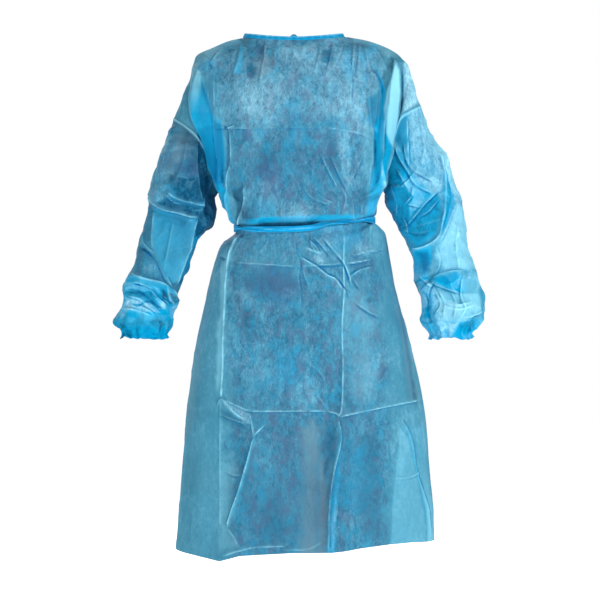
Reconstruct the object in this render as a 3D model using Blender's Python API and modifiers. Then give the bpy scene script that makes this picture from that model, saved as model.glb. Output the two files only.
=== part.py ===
"""A disposable protective gown of thin non-woven cloth, in the shape it has when worn.

Lengths are millimetres until a mesh is made. X is across (left is -X as seen from the
front), the front faces -Y, Z is up, and the origin is on top of the shoulders, under the neck.
Each panel is an open surface with a Solidify wall. The surfaces are lofted: a table gives the
cloth's outline at each level, smooth curves join the levels, and folds are added from tables.
"""

import math

import bpy
import numpy as np
from mathutils import Matrix

MM = 0.001
WALL = 1.6          # stands for the folded, creased thickness of a 0.25 mm cloth
SEAM_GAP = 0.3      # between pieces that are sewn together
ARMPIT_SPREAD = 7   # how far the sleeve is led off the trunk just below the armpit
MOST_PARTING = 6    # the most that a piece stops short of a seam where the cloth doubles back
STRAP_WALL = 2.2    # belt and binding, folded to several layers
BELT_WIDTH = 18
BINDING_WIDTH = 11
PLY_GAP = 1.4       # half the extra distance between the two back panels where they lap
NECK_SHIFT = -15    # the neck opening sits a little to the left
ROUNDNESS = 2.3     # exponent of the trunk's rounded outline, 2 is an ellipse

CLOTH_COLOUR = (0.098, 0.319, 0.485, 1)
TRIM_COLOUR = (0.065, 0.381, 0.612, 1)

# ---- the trunk below the armpits: one row a level -------------------------------------
# belt says that z is counted from the belt line instead of from the shoulders.
TRUNK_COLUMNS = ("name", "belt", "z", "left", "right", "front", "back")
TRUNK = (
    ("hem", False, -1150, 279, 302, 158, 148),
    ("calf", False, -1044, 270, 297, 155, 146),
    ("below_knee", False, -954, 263, 289, 153, 145),
    ("knee", False, -864, 254, 283, 151, 144),
    ("thigh", False, -774, 245, 268, 149, 144),
    ("thigh_high", False, -684, 232, 245, 147, 143),
    ("hip", False, -594, 212, 219, 143, 140),
    ("hip_high", False, -504, 190, 203, 134, 127),
    ("skirt_top", True, -30, 174, 189, 122, 108),
    ("belt_low", True, -12, 155, 165, 112, 100),
    ("belt_line", True, 0, 155, 165, 112, 100),
    ("belt_high", True, 12, 155, 165, 112, 100),
    ("blouse", True, 24, 169, 168, 136, 114),
    ("bodice", True, 44, 177, 172, 138, 117),
    ("armpit", False, -351, 183, 186, 134, 116),
)
BELT_Z, BELT_TILT, BELT_DIP = -424, 0.051, 11
# Drop of the hem below its level, at each place across the front: uneven as worn.
HEM_DROP = ((-290, 4), (-235, 13), (-178, 24), (-133, 8), (-16, 1), (70, 2), (130, -5),
            (200, -10), (245, -9), (300, 0))
HEM_RISE = 18       # how much higher the hem hangs at its right end

# ---- the yoke above the armpits: stations across, levels up ---------------------------
# A station is a place across half a panel, from the armhole (0) to the centre (0.5).
STATIONS = (0, 0.07, 0.14, 0.20, 0.25, 0.30, 0.36, 0.43, 0.5)
NECK_STATION = 0.36
# Columns: armhole, arm, crease, pleat_outer, pleat, trough, side, inner, centre. The armhole
# and arm columns come from ARMHOLES, so a row starts at the crease beside the arm.
FRONT_YOKE = (
    ((185, -44, -351), (186, -68, -351), (174, -95, -351), (153, -94, -351),
     (122, -115, -351), (72, -129, -351), (0, -134, -351)),
    ((192, -52, -316), (198, -84, -308), (186, -109, -304), (164, -98, -302),
     (127, -119, -301), (76, -133, -301), (0, -139, -301)),
    ((203, -52, -262), (207, -90, -252), (192, -115, -247), (166, -97, -244),
     (130, -120, -242), (78, -134, -241), (0, -139, -240)),
    ((219, -49, -202), (214, -88, -190), (197, -112, -184), (174, -92, -180),
     (132, -114, -177), (78, -127, -176), (0, -131, -175)),
    ((234, -40, -146), (221, -72, -130), (203, -95, -121), (180, -76, -115),
     (134, -97, -111), (78, -111, -109), (0, -117, -108)),
    ((243, -22, -104), (231, -40, -84), (213, -54, -71), (187, -44, -61),
     (132, -60, -51), (76, -80, -50), (0, -92, -52)),
)
YOKE_HEIGHTS = (-290, -235, -175, -115, -55, 0)     # of the levels above the armpit one
BACK_YOKE = (
    ((184, 44, -351), (180, 62, -351), (168, 80, -351), (150, 92, -351),
     (120, 105, -351), (70, 114, -351), (0, 116, -351)),
    ((192, 56, -314), (190, 76, -306), (176, 96, -303), (156, 103, -302),
     (124, 113, -301), (74, 121, -301), (0, 122, -301)),
    ((204, 62, -260), (200, 84, -250), (184, 105, -246), (164, 110, -243),
     (128, 119, -241), (76, 125, -240), (0, 124, -240)),
    ((221, 58, -200), (210, 82, -188), (192, 104, -182), (170, 108, -178),
     (130, 117, -176), (76, 123, -175), (0, 122, -174)),
    ((236, 48, -144), (220, 68, -128), (200, 88, -119), (177, 94, -113),
     (134, 105, -109), (76, 112, -107), (0, 112, -106)),
    ((243, 26, -102), (231, 38, -82), (212, 52, -69), (187, 58, -59),
     (132, 70, -50), (76, 86, -48), (0, 92, -48)),
)
SHOULDER = ((254, 0, -116), (245, 2, -92), (238, 3, -64), (216, 4, -38), (166, 3, -14),
            (114, 0, -3))
NECK_FRONT, NECK_BACK = 64, 70     # the neck opening's reach before and behind the shoulders
NECK_FRONT_Z, NECK_BACK_Z = -14, -4

# Armhole, from the armpit over the front to the top of the arm: x, y, z, each side.
ARMHOLES = {
    -1: ((183, 0, -351), (187, -44, -322), (203, -66, -276), (227, -68, -229),
         (252, -52, -205), (272, -26, -191), (283, 0, -184)),
    1: ((186, 0, -345), (189, -46, -312), (204, -68, -256), (221, -66, -190),
        (243, -50, -172), (261, -26, -162), (271, 0, -156)),
}

# ---- sleeves: a row a section, from the armhole down ------------------------------------
# Columns: name, then the section's outer end x, z and inner end x, z in front view, half its
# depth, and y of its middle.
SLEEVES = {
    -1: (
        ("upper", 311, -258, 187, -378, 70, -2),
        ("biceps", 335, -328, 190, -402, 70, -5),
        ("elbow", 341, -390, 199, -426, 68, -9),
        ("below_elbow", 363, -458, 233, -470, 65, -13),
        ("forearm", 373, -516, 250, -528, 62, -17),
        ("forearm_low", 394, -562, 269, -578, 60, -21),
        ("wrist", 400, -606, 283, -622, 58, -25),
        ("puff", 418, -644, 287, -652, 60, -28),
        ("elastic", 400, -668, 297, -672, 44, -30),
        ("frill", 404, -677, 293, -681, 47, -31),
    ),
    1: (
        ("upper", 303, -238, 190, -366, 70, -2),
        ("biceps", 338, -296, 194, -386, 71, -5),
        ("elbow", 365, -370, 207, -408, 69, -9),
        ("below_elbow", 374, -432, 226, -446, 66, -13),
        ("forearm", 384, -492, 249, -506, 64, -17),
        ("forearm_low", 402, -548, 259, -562, 62, -21),
        ("wrist", 413, -600, 269, -614, 60, -25),
        ("puff", 405, -642, 273, -650, 60, -28),
        ("elastic", 386, -668, 290, -671, 44, -30),
        ("frill", 390, -677, 286, -680, 47, -31),
    ),
}

# ---- the largest folds: lines in front view (or seen through from it, for the back) -------
# Columns: x0, z0 where it starts, x1, z1 where it ends, its half width, and how far it lifts.
FRONT_FOLDS = (
    (-176, -345, -150, -420, 15, 10),
    (-148, -330, -130, -410, 14, -9),
    (172, -340, 160, -410, 15, 9),
    (148, -320, 140, -400, 14, -8),
    (-98, -840, -140, -1180, 26, 13),
    (-150, -850, -190, -1150, 30, -8),
    (92, -880, 100, -1180, 24, 10),
    (45, -860, 50, -1180, 30, -8),
    (185, -700, 215, -1180, 36, 8),
    (-215, -640, -235, -1100, 30, 7),
    (60, -480, 118, -590, 30, -5),
)
BACK_FOLDS = (
    (-110, -560, -130, -1180, 36, 11),
    (-190, -620, -215, -1180, 32, -9),
    (40, -600, 52, -1180, 34, -9),
    (130, -560, 160, -1180, 36, 12),
    (215, -660, 245, -1180, 32, -8),
    (-60, -240, -90, -400, 26, 6),
    (90, -230, 110, -400, 26, 6),
)

# Folds of the sleeves, by side and by the way they face.
SLEEVE_FOLDS = {
    (-1, -1): (
        (-345, -350, -240, -395, 14, 8),
        (-350, -400, -240, -430, 16, -7),
        (-375, -530, -280, -580, 14, 7),
        (-390, -575, -290, -600, 13, -6),
    ),
    (-1, 1): (
        (-345, -370, -230, -400, 16, 7),
        (-385, -540, -270, -570, 14, 6),
        (-380, -480, -250, -500, 14, -5),
    ),
    (1, -1): (
        (355, -330, 345, -440, 16, 8),
        (300, -350, 225, -430, 14, -6),
        (395, -520, 290, -560, 14, 7),
        (380, -590, 290, -600, 16, -6),
    ),
    (1, 1): (
        (350, -360, 230, -390, 16, 7),
        (390, -540, 270, -570, 14, 6),
        (380, -470, 250, -490, 14, -5),
    ),
}

# ---- ties at the centre back ----------------------------------------------------------------
# Knots: x, y, z of the middle, then half the width, depth and height.
KNOTS = {"neck": (-14, 73.5, 3.4, 10, 5, 7), "belt": (0, 108.5, -425, 12, 6, 10)}
# Tails: x, z of points down the middle of each free end.
TAILS = {
    "neck_tail_left": ((-23.3, -4.1), (-40, -60), (-50, -130), (-46, -205)),
    "neck_tail_right": ((-4.7, -4.1), (6, -50), (14, -110), (10, -180)),
    "belt_tail_left": ((-9.3, -435.3), (-30, -490), (-42, -570), (-38, -680)),
    "belt_tail_right": ((9.3, -435.3), (26, -500), (34, -590), (30, -720)),
}
TAIL_LIFT = WALL / 2 + PLY_GAP + STRAP_WALL / 2 + SEAM_GAP + 1    # from the back's middle surface

# ---- mesh density -------------------------------------------------------------------------
# Places across half a row: the stations, and places between them where the cloth folds most.
PLACES = (0, 0.035, 0.07, 0.105, 0.14, 0.17, 0.20, 0.225, 0.25, 0.275, 0.30, 0.33, 0.36,
          0.395, 0.43, 0.5)
LAP_FACES = 2         # faces in the part of a back panel that runs past the centre
WIDE_TRUNK, WIDE_YOKE = 95, 58     # levels further apart than this get a row between them
STRAP_POINTS = 41


def smooth(keys, values, at):
    """Smooth curve through values at keys, read at the places in at (cubic Hermite)."""
    keys = np.asarray(keys, float)
    values = np.asarray(values, float)
    slopes = np.empty_like(values)
    spread = (keys[2:] - keys[:-2]).reshape((-1,) + (1,) * (values.ndim - 1))
    slopes[1:-1] = (values[2:] - values[:-2]) / spread
    slopes[0] = (values[1] - values[0]) / (keys[1] - keys[0])
    slopes[-1] = (values[-1] - values[-2]) / (keys[-1] - keys[-2])
    at = np.asarray(at, float)
    low = np.clip(np.searchsorted(keys, at, side="right") - 1, 0, len(keys) - 2)
    step = keys[low + 1] - keys[low]
    t = (at - keys[low]) / step
    shape = (-1,) + (1,) * (values.ndim - 1)
    t, step = t.reshape(shape), step.reshape(shape)
    return (
        (2 * t**3 - 3 * t**2 + 1) * values[low]
        + (t**3 - 2 * t**2 + t) * step * slopes[low]
        + (3 * t**2 - 2 * t**3) * values[low + 1]
        + (t**3 - t**2) * step * slopes[low + 1]
    )


def power(value, exponent):
    """Power that keeps the sign."""
    return np.sign(value) * np.abs(value) ** exponent


def belt_line(x, front):
    """Height of the belt's middle: it tilts up to the right and dips in front."""
    dip = BELT_DIP * np.clip(1 - (x / 165) ** 2, 0, 1) * front
    return BELT_Z + BELT_TILT * x - dip


def trunk_row(level, u, facing):
    """Points of one level below the armpits, u from 0 (left seam) to 1 (right seam)."""
    row = dict(zip(TRUNK_COLUMNS, TRUNK[level]))
    angle = math.pi * u
    reach = np.where(u < 0.5, row["left"], row["right"])
    depth = row["front"] if facing < 0 else row["back"]
    x = -reach * power(np.cos(angle), 2 / ROUNDNESS)
    y = facing * depth * power(np.sin(angle), 2 / ROUNDNESS)
    drop = np.interp(x, *zip(*HEM_DROP)) * (facing < 0) + 10 * (facing > 0)
    sag = np.clip((-750 - row["z"]) / 400, 0, 1) ** 2
    rise = HEM_RISE * np.clip(x / row["right"], 0, 1) ** 2
    z = row["z"] + sag * (rise - drop * np.sin(angle) ** 0.5)
    if row["belt"]:
        z = row["z"] + belt_line(x, facing < 0)
    return np.stack([x, y, z + 0 * x], axis=1)


def armhole_points(side, facing, levels):
    """The armhole seam, from the armpit to the top of the arm, at the yoke's levels."""
    points = np.array(ARMHOLES[side], float) * (side, -facing, 1)
    return smooth(np.linspace(0, 1, len(points)), points, levels)


def yoke_row(level, u, facing):
    """Points of one level above the armpits; level 0 is the armpit row."""
    table = FRONT_YOKE if facing < 0 else BACK_YOKE
    share = level / len(table)
    halves = []
    for side in (-1, 1):
        inner = np.array(table[level], float) * (side, 1, 1)
        hole = armhole_points(side, facing, [share])[0]
        higher = hole[2] - armhole_points(-side, facing, [share])[0][2]
        inner[:4, 2] += max(higher, 0) * np.array([1, 0.75, 0.45, 0.2])
        arm = (hole + inner[0]) / 2 + (side * 4 * share, facing * 5 * share, 0)
        halves.append(np.vstack([hole, arm, inner]))
    places = np.concatenate([STATIONS, 1 - np.array(STATIONS[-2::-1])])
    return smooth(places, np.vstack([halves[0], halves[1][-2::-1]]), u)


def top_row(u, facing):
    """The shoulder seams, and between them the edge of the neck opening."""
    row = np.empty((len(u), 3))
    for i, place in enumerate(u):
        side = -1 if place < 0.5 else 1
        half = min(place, 1 - place)
        line = np.vstack([ARMHOLES[side][-1], SHOULDER]).astype(float)
        if half <= NECK_STATION:
            keys = STATIONS[: len(line)]
            point = smooth(keys, line, [half])[0]
        else:
            turn = (half - NECK_STATION) / (0.5 - NECK_STATION) * math.pi / 2
            reach, base = (NECK_FRONT, NECK_FRONT_Z) if facing < 0 else (NECK_BACK, NECK_BACK_Z)
            top = SHOULDER[-1]
            point = np.array([
                top[0] * math.cos(turn),
                facing * reach * math.sin(turn),
                base + (top[2] - base) * math.cos(turn) ** 2,
            ])
        row[i] = point * (side, 1, 1)
    return row


def fold_lift(x, z, folds):
    """Sum of the folds' lift at front-view places x, z: soft ridges that fade at both ends."""
    lift = np.zeros_like(x)
    for x0, z0, x1, z1, width, height in folds:
        length = math.hypot(x1 - x0, z1 - z0)
        along = ((x - x0) * (x1 - x0) + (z - z0) * (z1 - z0)) / length**2
        aside = ((x - x0) * (z1 - z0) - (z - z0) * (x1 - x0)) / length
        fade = np.sin(np.clip(along * 1.1, 0, 1) * math.pi / 2) * np.clip((1.1 - along) * 4, 0, 1)
        lift += height * fade * np.exp(-((aside / width) ** 2))
    return lift


def trunk_surface(u, facing, v):
    """Grid of points over the front (facing -1) or the back (1). Whole values of v are levels."""
    trunk = [trunk_row(level, u, facing) for level in range(len(TRUNK) - 1)]
    yoke = [yoke_row(level, u, facing) for level in range(len(FRONT_YOKE))]
    rows = np.array(trunk + yoke + [top_row(u, facing)])
    keys = level_keys()
    grid = smooth(keys, rows, np.interp(v, range(len(keys)), keys))
    x, z = grid[..., 0], grid[..., 2]
    lift = fold_lift(x, z, FRONT_FOLDS if facing < 0 else BACK_FOLDS)
    waist = np.abs(z - belt_line(x, facing < 0))
    lift *= np.clip((waist - 14) / 12, 0, 1)
    face_on = np.abs(np.sin(math.pi * u)) ** 0.6
    grid[..., 1] += facing * lift * face_on
    grid[..., 0] += lift * 0.5 * np.sign(u - 0.5) * (1 - face_on)
    neck = np.exp(-((z / 60) ** 2)) * np.clip(1.3 - np.abs(x) / 150, 0, 1)
    grid[..., 0] += NECK_SHIFT * neck
    return grid


def level_keys():
    """A length measured up the trunk and yoke for each level, so that curves stay even."""
    heights = [row[2] + (BELT_Z - 12 if row[1] else 0) for row in TRUNK]
    return np.array(heights + list(YOKE_HEIGHTS), float)


def trunk_levels():
    """The levels of the mesh's rows: each level of the tables, and halves where they are wide."""
    heights = level_keys()
    levels = []
    for level, rise in enumerate(np.diff(heights)):
        levels.append(level)
        if rise > (WIDE_TRUNK if level < len(TRUNK) - 1 else WIDE_YOKE):
            levels.append(level + 0.5)
    return np.array(levels + [len(heights) - 1])


def panel_places():
    """Places across a full row, from the left seam to the right one."""
    return np.array(PLACES + tuple(1 - place for place in PLACES[-2::-1]))


def pull_back(edge, inner, distance):
    """The edge's points moved towards the next row in by a distance."""
    away = inner - edge
    return edge + away / np.linalg.norm(away, axis=-1, keepdims=True) * distance


def across_edge(edge, inner):
    """For each point of an edge: the way into the surface square to the edge, and how much of
    a step towards the next row goes that way."""
    tangent = np.gradient(edge, axis=0)
    tangent /= np.linalg.norm(tangent, axis=-1, keepdims=True)
    way = inner - edge
    way /= np.linalg.norm(way, axis=-1, keepdims=True)
    square = way - (way * tangent).sum(axis=-1, keepdims=True) * tangent
    share = np.linalg.norm(square, axis=-1)
    return square / share[:, None], share


def parting(edge, inner, other):
    """How far a piece stops short of the line where two pieces meet, so that their walls are
    a seam's gap apart: next to nothing where they run straight on, more round a bend."""
    one, share = across_edge(edge, inner)
    two, _ = across_edge(edge, other)
    half_bend = np.arccos(np.clip((one * two).sum(axis=-1), -0.9999, 0.9999)) / 2
    short = np.clip(WALL / 2 / np.tan(half_bend), 0, MOST_PARTING) + SEAM_GAP / 2 + 0.3
    return (short / np.clip(share, 0.35, 1))[:, None]


def mesh_object(name, grid, material, closed=False):
    """An object from a grid of points. closed joins the last column to the first."""
    rows, cols = grid.shape[:2]
    faces = []
    for r in range(rows - 1):
        for c in range(cols if closed else cols - 1):
            d = (c + 1) % cols
            faces.append((r * cols + c, r * cols + d, (r + 1) * cols + d, (r + 1) * cols + c))
    mesh = bpy.data.meshes.new(name)
    mesh.from_pydata((grid.reshape(-1, 3) * MM).tolist(), [], faces)
    mesh.materials.append(material)
    for face in mesh.polygons:
        face.use_smooth = True
    obj = bpy.data.objects.new(name, mesh)
    bpy.data.collections["disposable_gown"].objects.link(obj)
    return obj


def wall(obj, thickness):
    """Gives an open surface its thickness."""
    solidify = obj.modifiers.new("wall", "SOLIDIFY")
    solidify.thickness = thickness * MM
    solidify.offset = 0
    solidify.use_rim = True
    return obj


def material(name, colour, roughness):
    shade = bpy.data.materials.new(name)
    shade.use_nodes = True
    shader = shade.node_tree.nodes["Principled BSDF"]
    shader.inputs["Base Color"].default_value = colour
    shader.inputs["Roughness"].default_value = roughness
    shader.inputs["Metallic"].default_value = 0
    shade.diffuse_color = colour
    return shade


def surfaces():
    """The whole front, the whole back and both sleeves, still joined along their seams."""
    u, levels = panel_places(), trunk_levels()
    front, back = (trunk_surface(u, facing, levels) for facing in (-1, 1))
    return {-1: front, 1: back, "sleeves": {side: sleeve_surface(side, front, back)
                                            for side in (-1, 1)}}


def trim_panel(parts, facing):
    """Opens the seams round the front or the back: neck and shoulders, sides and armholes."""
    first_yoke = list(trunk_levels()).index(len(TRUNK) - 1)
    whole, partner = parts[facing], parts[-facing]
    grid = whole.copy()
    shoulder = parting(whole[-1], whole[-2], partner[-2])
    grid[-1] = pull_back(whole[-1], whole[-2], shoulder)
    for edge, inner, side in ((0, 1, -1), (-1, -2, 1)):
        gap = parting(whole[:, edge], whole[:, inner], partner[:, inner])
        count = len(whole) - first_yoke
        tube = parts["sleeves"][side][:, :count] if facing < 0 else np.roll(
            parts["sleeves"][side][:, ::-1], 1, axis=1)[:, :count]
        gap[first_yoke:] = parting(whole[first_yoke:, edge], whole[first_yoke:, inner], tube[1])
        grid[:, edge] = pull_back(grid[:, edge], grid[:, inner], gap)
    return grid


def outward(grid):
    """Unit vectors square to a panel's surface, pointing out of the trunk."""
    normal = np.cross(np.gradient(grid, axis=1), np.gradient(grid, axis=0))
    normal /= np.linalg.norm(normal, axis=-1, keepdims=True)
    return normal * np.where((normal * grid)[..., 1:2] < 0, -1, 1)


def front_panel(parts, cloth):
    return wall(mesh_object("front", trim_panel(parts, -1), cloth), WALL)


def back_panel(parts, side, cloth):
    """A back panel: from its side seam to past the centre, over or under the other one."""
    grid = trim_panel(parts, 1)
    grid = grid[:, ::-1] if side > 0 else grid
    middle = grid.shape[1] // 2
    grid = grid[:, : middle + LAP_FACES + 1]
    ply = np.clip(np.arange(grid.shape[1]) - (middle - LAP_FACES - 3), 0, 3) / 3
    grid = grid + outward(grid) * (ply * PLY_GAP * side)[None, :, None]
    name = "back_right" if side > 0 else "back_left"
    return wall(mesh_object(name, grid if side > 0 else grid[:, ::-1], cloth), WALL)


def sleeve_section(row, side, count):
    """One closed section of a sleeve, starting at its inner end and going over the front."""
    outer_x, outer_z, inner_x, inner_z, depth, y = row[1:]
    outer = np.array([side * outer_x, 0, outer_z], float)
    inner = np.array([side * inner_x, 0, inner_z], float)
    angle = 2 * math.pi * np.arange(count) / count
    across = power(np.cos(angle), 0.92)[:, None]
    deep = power(np.sin(angle), 0.92)[:, None]
    middle, half = (outer + inner) / 2, (inner - outer) / 2
    return middle + (0, y, 0) + half * across + np.array([0, -depth, 0]) * deep


def sleeve_surface(side, front, back):
    """A tube of closed rows from the armhole to the frill. A row starts at the inner end."""
    first_yoke = list(trunk_levels()).index(len(TRUNK) - 1)
    edge = 0 if side < 0 else -1
    start = np.vstack([front[first_yoke:, edge], back[-2:first_yoke:-1, edge]])
    sections = [sleeve_section(row, side, len(start)) for row in SLEEVES[side]]
    rows = np.array([start] + sections)
    middles = rows.mean(axis=1)
    keys = np.concatenate([[0], np.cumsum(np.linalg.norm(np.diff(middles, axis=0), axis=1))])
    at = np.sort(np.concatenate([keys, (keys[:3] + keys[1:4]) / 2]))
    grid = smooth(keys, rows, at)
    armpit = np.exp(-(((start[:, 2] - start[0, 2]) / 60) ** 2))
    grid[1, :, 0] += side * ARMPIT_SPREAD * armpit
    grid[2, :, 0] += side * ARMPIT_SPREAD / 2 * armpit
    x, z = grid[..., 0], grid[..., 2]
    facing = np.sign(grid[..., 1] - middles[-1, 1] * 0.5 + 1e-6)
    for way in (-1, 1):
        lift = fold_lift(x, z, SLEEVE_FOLDS[side, way]) * (facing == way)
        face_on = np.abs(np.sin(2 * math.pi * np.arange(len(start)) / len(start)))
        grid[..., 1] += way * lift * face_on
    return grid


def sleeve(parts, side, cloth):
    """A sleeve, stopped short of the armhole seam."""
    whole = parts["sleeves"][side]
    first_yoke = list(trunk_levels()).index(len(TRUNK) - 1)
    column = (0, 1) if side < 0 else (-1, -2)
    front, back = (parts[facing][:, column[1]] for facing in (-1, 1))
    inner = np.vstack([front[first_yoke:], back[-2:first_yoke:-1]])
    grid = whole.copy()
    grid[0] = pull_back(whole[0], whole[1], parting(whole[0], inner, whole[1]))
    name = "sleeve_left" if side < 0 else "sleeve_right"
    return wall(mesh_object(name, grid if side > 0 else grid[:, ::-1], cloth, True), WALL)


def even_points(line, skip, count):
    """count points at even steps along a line, leaving out a length at each end."""
    steps = np.linalg.norm(np.diff(line, axis=0), axis=1)
    length = np.concatenate([[0], np.cumsum(steps)])
    at = np.linspace(skip, length[-1] - skip, count)
    return np.stack([np.interp(at, length, line[:, axis]) for axis in range(3)], axis=1)


def neck_binding(trim):
    """The folded strip on the neck edge. Its ends meet the knot at the centre back."""
    places = np.linspace(NECK_STATION, 1 - NECK_STATION, 25)
    front, back = (top_row(places, facing) for facing in (-1, 1))
    middle = len(places) // 2
    loop = np.vstack([back[middle::-1], front[1:], back[-2:middle - 1:-1]])
    loop = even_points(loop + (NECK_SHIFT * 0.93, 0, 0), KNOTS["neck"][3] + SEAM_GAP, STRAP_POINTS)
    inward = (NECK_SHIFT, 0, 0) - loop * (1, 1, 0)
    inward /= np.linalg.norm(inward, axis=1, keepdims=True)
    low = loop + inward * 0.3 + (0, 0, SEAM_GAP + 0.8)
    high = low + inward * 4 + (0, 0, BINDING_WIDTH - 2)
    return wall(mesh_object("neck_binding", np.array([low, high]), trim), STRAP_WALL)


def belt(trim):
    """A band round the waist, made from the belt line's own points, moved out."""
    level = np.array([[row[0] for row in TRUNK].index("belt_line")])
    u = panel_places()
    front, back = (trunk_surface(u, facing, level)[0] for facing in (-1, 1))
    middle = len(u) // 2
    loop = np.vstack([back[middle:0:-1], front, back[-2:middle - 1:-1]])
    out = loop * (0.8, 1.2, 0)
    out /= np.linalg.norm(out, axis=1, keepdims=True)
    lift = WALL / 2 + SEAM_GAP + STRAP_WALL / 2
    under = PLY_GAP * np.clip((loop[:, 1] - 60) / 30, 0, 1)
    loop = even_points(loop + out * (lift + 1 + under)[:, None], KNOTS["belt"][3] + SEAM_GAP,
                       STRAP_POINTS)
    half = np.array([0, 0, BELT_WIDTH / 2])
    return wall(mesh_object("belt", np.array([loop - half, loop + half]), trim), STRAP_WALL)


def knot(name, trim):
    """A tied knot, as a small rounded lump on the back."""
    x, y, z, wide, deep, high = KNOTS[name]
    bpy.ops.mesh.primitive_uv_sphere_add(segments=12, ring_count=8, radius=1)
    obj = bpy.context.object
    obj.name = obj.data.name = name + "_knot"
    obj.data.transform(Matrix.Diagonal((wide * MM, deep * MM, high * MM, 1)))
    obj.location = (x * MM, y * MM, z * MM)
    obj.data.materials.append(trim)
    for face in obj.data.polygons:
        face.use_smooth = True
    for owner in list(obj.users_collection):
        owner.objects.unlink(obj)
    bpy.data.collections["disposable_gown"].objects.link(obj)
    return obj


def tail(name, route, trim):
    """A free end of a strap, hanging down the back panels from its knot."""
    back = trunk_surface(np.linspace(0.3, 0.7, 41), 1, np.linspace(0, len(level_keys()) - 1, 161))
    places = np.array(route, float)
    keys = np.arange(len(places))
    line = smooth(keys, places, np.linspace(0, keys[-1], 3 * keys[-1] + 1))
    rows = []
    for x, z in line:
        row = []
        for edge in (-BELT_WIDTH / 2, BELT_WIDTH / 2):
            near = np.hypot(back[..., 0] - x - edge, back[..., 2] - z).argmin()
            row.append((x + edge, back[..., 1].flat[near] + TAIL_LIFT, z))
        depth = max(point[1] for point in row)
        rows.append([(point[0], depth, point[2]) for point in row])
    return wall(mesh_object(name, np.array(rows), trim), STRAP_WALL)


def clear_scene():
    for obj in list(bpy.data.objects):
        bpy.data.objects.remove(obj)
    collection = bpy.data.collections.new("disposable_gown")
    bpy.context.scene.collection.children.link(collection)


def main():
    clear_scene()
    cloth = material("non_woven_cloth", CLOTH_COLOUR, 0.75)
    trim = material("non_woven_trim", TRIM_COLOUR, 0.7)
    parts = surfaces()
    front_panel(parts, cloth)
    for side in (-1, 1):
        back_panel(parts, side, cloth)
        sleeve(parts, side, cloth)
    neck_binding(trim)
    belt(trim)
    for name in KNOTS:
        knot(name, trim)
    for name, route in TAILS.items():
        tail(name, route, trim)


main()
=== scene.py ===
# %% [markdown]
# # A disposable protective gown
# The gown is thin blue non-woven cloth, spun from polypropylene. It is shown worn, with nobody in
# it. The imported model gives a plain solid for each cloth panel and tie. This lesson replaces each
# of them with a finer sheet of cloth on the same form. The form and the kinds of folds come
# first, then a material is mixed for the cloth, then each piece is made, and last the studio.
# %% Load the frame
import math

import bmesh
import bpy
import numpy as np
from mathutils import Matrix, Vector


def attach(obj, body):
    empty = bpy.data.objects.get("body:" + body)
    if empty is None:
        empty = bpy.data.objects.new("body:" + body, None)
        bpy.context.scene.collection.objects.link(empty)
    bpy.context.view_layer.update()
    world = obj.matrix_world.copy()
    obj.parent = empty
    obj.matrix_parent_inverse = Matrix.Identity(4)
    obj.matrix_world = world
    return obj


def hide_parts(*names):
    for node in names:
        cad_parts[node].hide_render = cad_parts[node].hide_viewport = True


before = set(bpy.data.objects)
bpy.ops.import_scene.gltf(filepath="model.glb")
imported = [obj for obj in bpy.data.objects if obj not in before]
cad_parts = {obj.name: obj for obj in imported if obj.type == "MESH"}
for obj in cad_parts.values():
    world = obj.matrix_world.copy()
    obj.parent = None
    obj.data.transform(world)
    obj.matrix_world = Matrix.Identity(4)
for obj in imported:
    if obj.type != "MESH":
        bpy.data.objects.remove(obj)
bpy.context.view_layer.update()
MM = 0.001      # shapes are worked out in millimetres and become metres in the mesh

# %% [markdown]
# ## Curves through a few levels
# A garment is easiest to describe by its outline at a few heights. A cubic curve then joins the
# levels, so that the surface is smooth however finely it is divided. The same curve also makes
# bent creases out of a few points.
# %% Smooth curves
def smooth(keys, values, at):
    """Cubic Hermite curve: each value is kept at its key, and the slope at a key is the rise
    between its two neighbours over their distance."""
    keys, values = np.asarray(keys, float), np.asarray(values, float)
    slopes = np.empty_like(values)
    spread = (keys[2:] - keys[:-2]).reshape((-1,) + (1,) * (values.ndim - 1))
    slopes[1:-1] = (values[2:] - values[:-2]) / spread
    slopes[0] = (values[1] - values[0]) / (keys[1] - keys[0])
    slopes[-1] = (values[-1] - values[-2]) / (keys[-1] - keys[-2])
    at = np.asarray(at, float)
    low = np.clip(np.searchsorted(keys, at, side="right") - 1, 0, len(keys) - 2)
    step = keys[low + 1] - keys[low]
    t = (at - keys[low]) / step
    shape = (-1,) + (1,) * (values.ndim - 1)
    t, step = t.reshape(shape), step.reshape(shape)
    return ((2 * t**3 - 3 * t**2 + 1) * values[low] + (t**3 - 2 * t**2 + t) * step * slopes[low]
            + (3 * t**2 - 2 * t**3) * values[low + 1] + (t**3 - t**2) * step * slopes[low + 1])


def power(value, exponent):
    """Power that keeps the sign."""
    return np.sign(value) * np.abs(value) ** exponent


def soft_step(value):
    """Rises from 0 to 1 while value goes from 0 to 1, flat at both ends: 3v^2 - 2v^3."""
    value = np.clip(value, 0, 1)
    return value * value * (3 - 2 * value)


def run_lengths(points):
    """Length of the line through the points, from its start to each of them."""
    return np.concatenate([[0], np.cumsum(np.linalg.norm(np.diff(points, axis=0), axis=1))])


def unit(vectors):
    """The same directions with length 1."""
    return vectors / np.linalg.norm(vectors, axis=1, keepdims=True)


print("halfway up the soft step:", soft_step(0.5))

# %% [markdown]
# ## The trunk of the gown
# Below the armpits each level is a rounded outline round the body, given by how far it reaches
# to the left, right, front and back. The belt draws it in, the cloth above the belt hangs over it,
# and the hem flares. These are the sizes of the solid panels, so that the cloth lies on them.
# %% Levels below the armpits
ROUNDNESS = 2.3         # exponent of the outline, 2 is an ellipse
# Height of the belt's middle, its slope, its dip in front, and how far it reaches.
BELT_Z, BELT_TILT, BELT_DIP, BELT_REACH = -424, 0.051, 11, 165
HEM_Z = -1150
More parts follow.
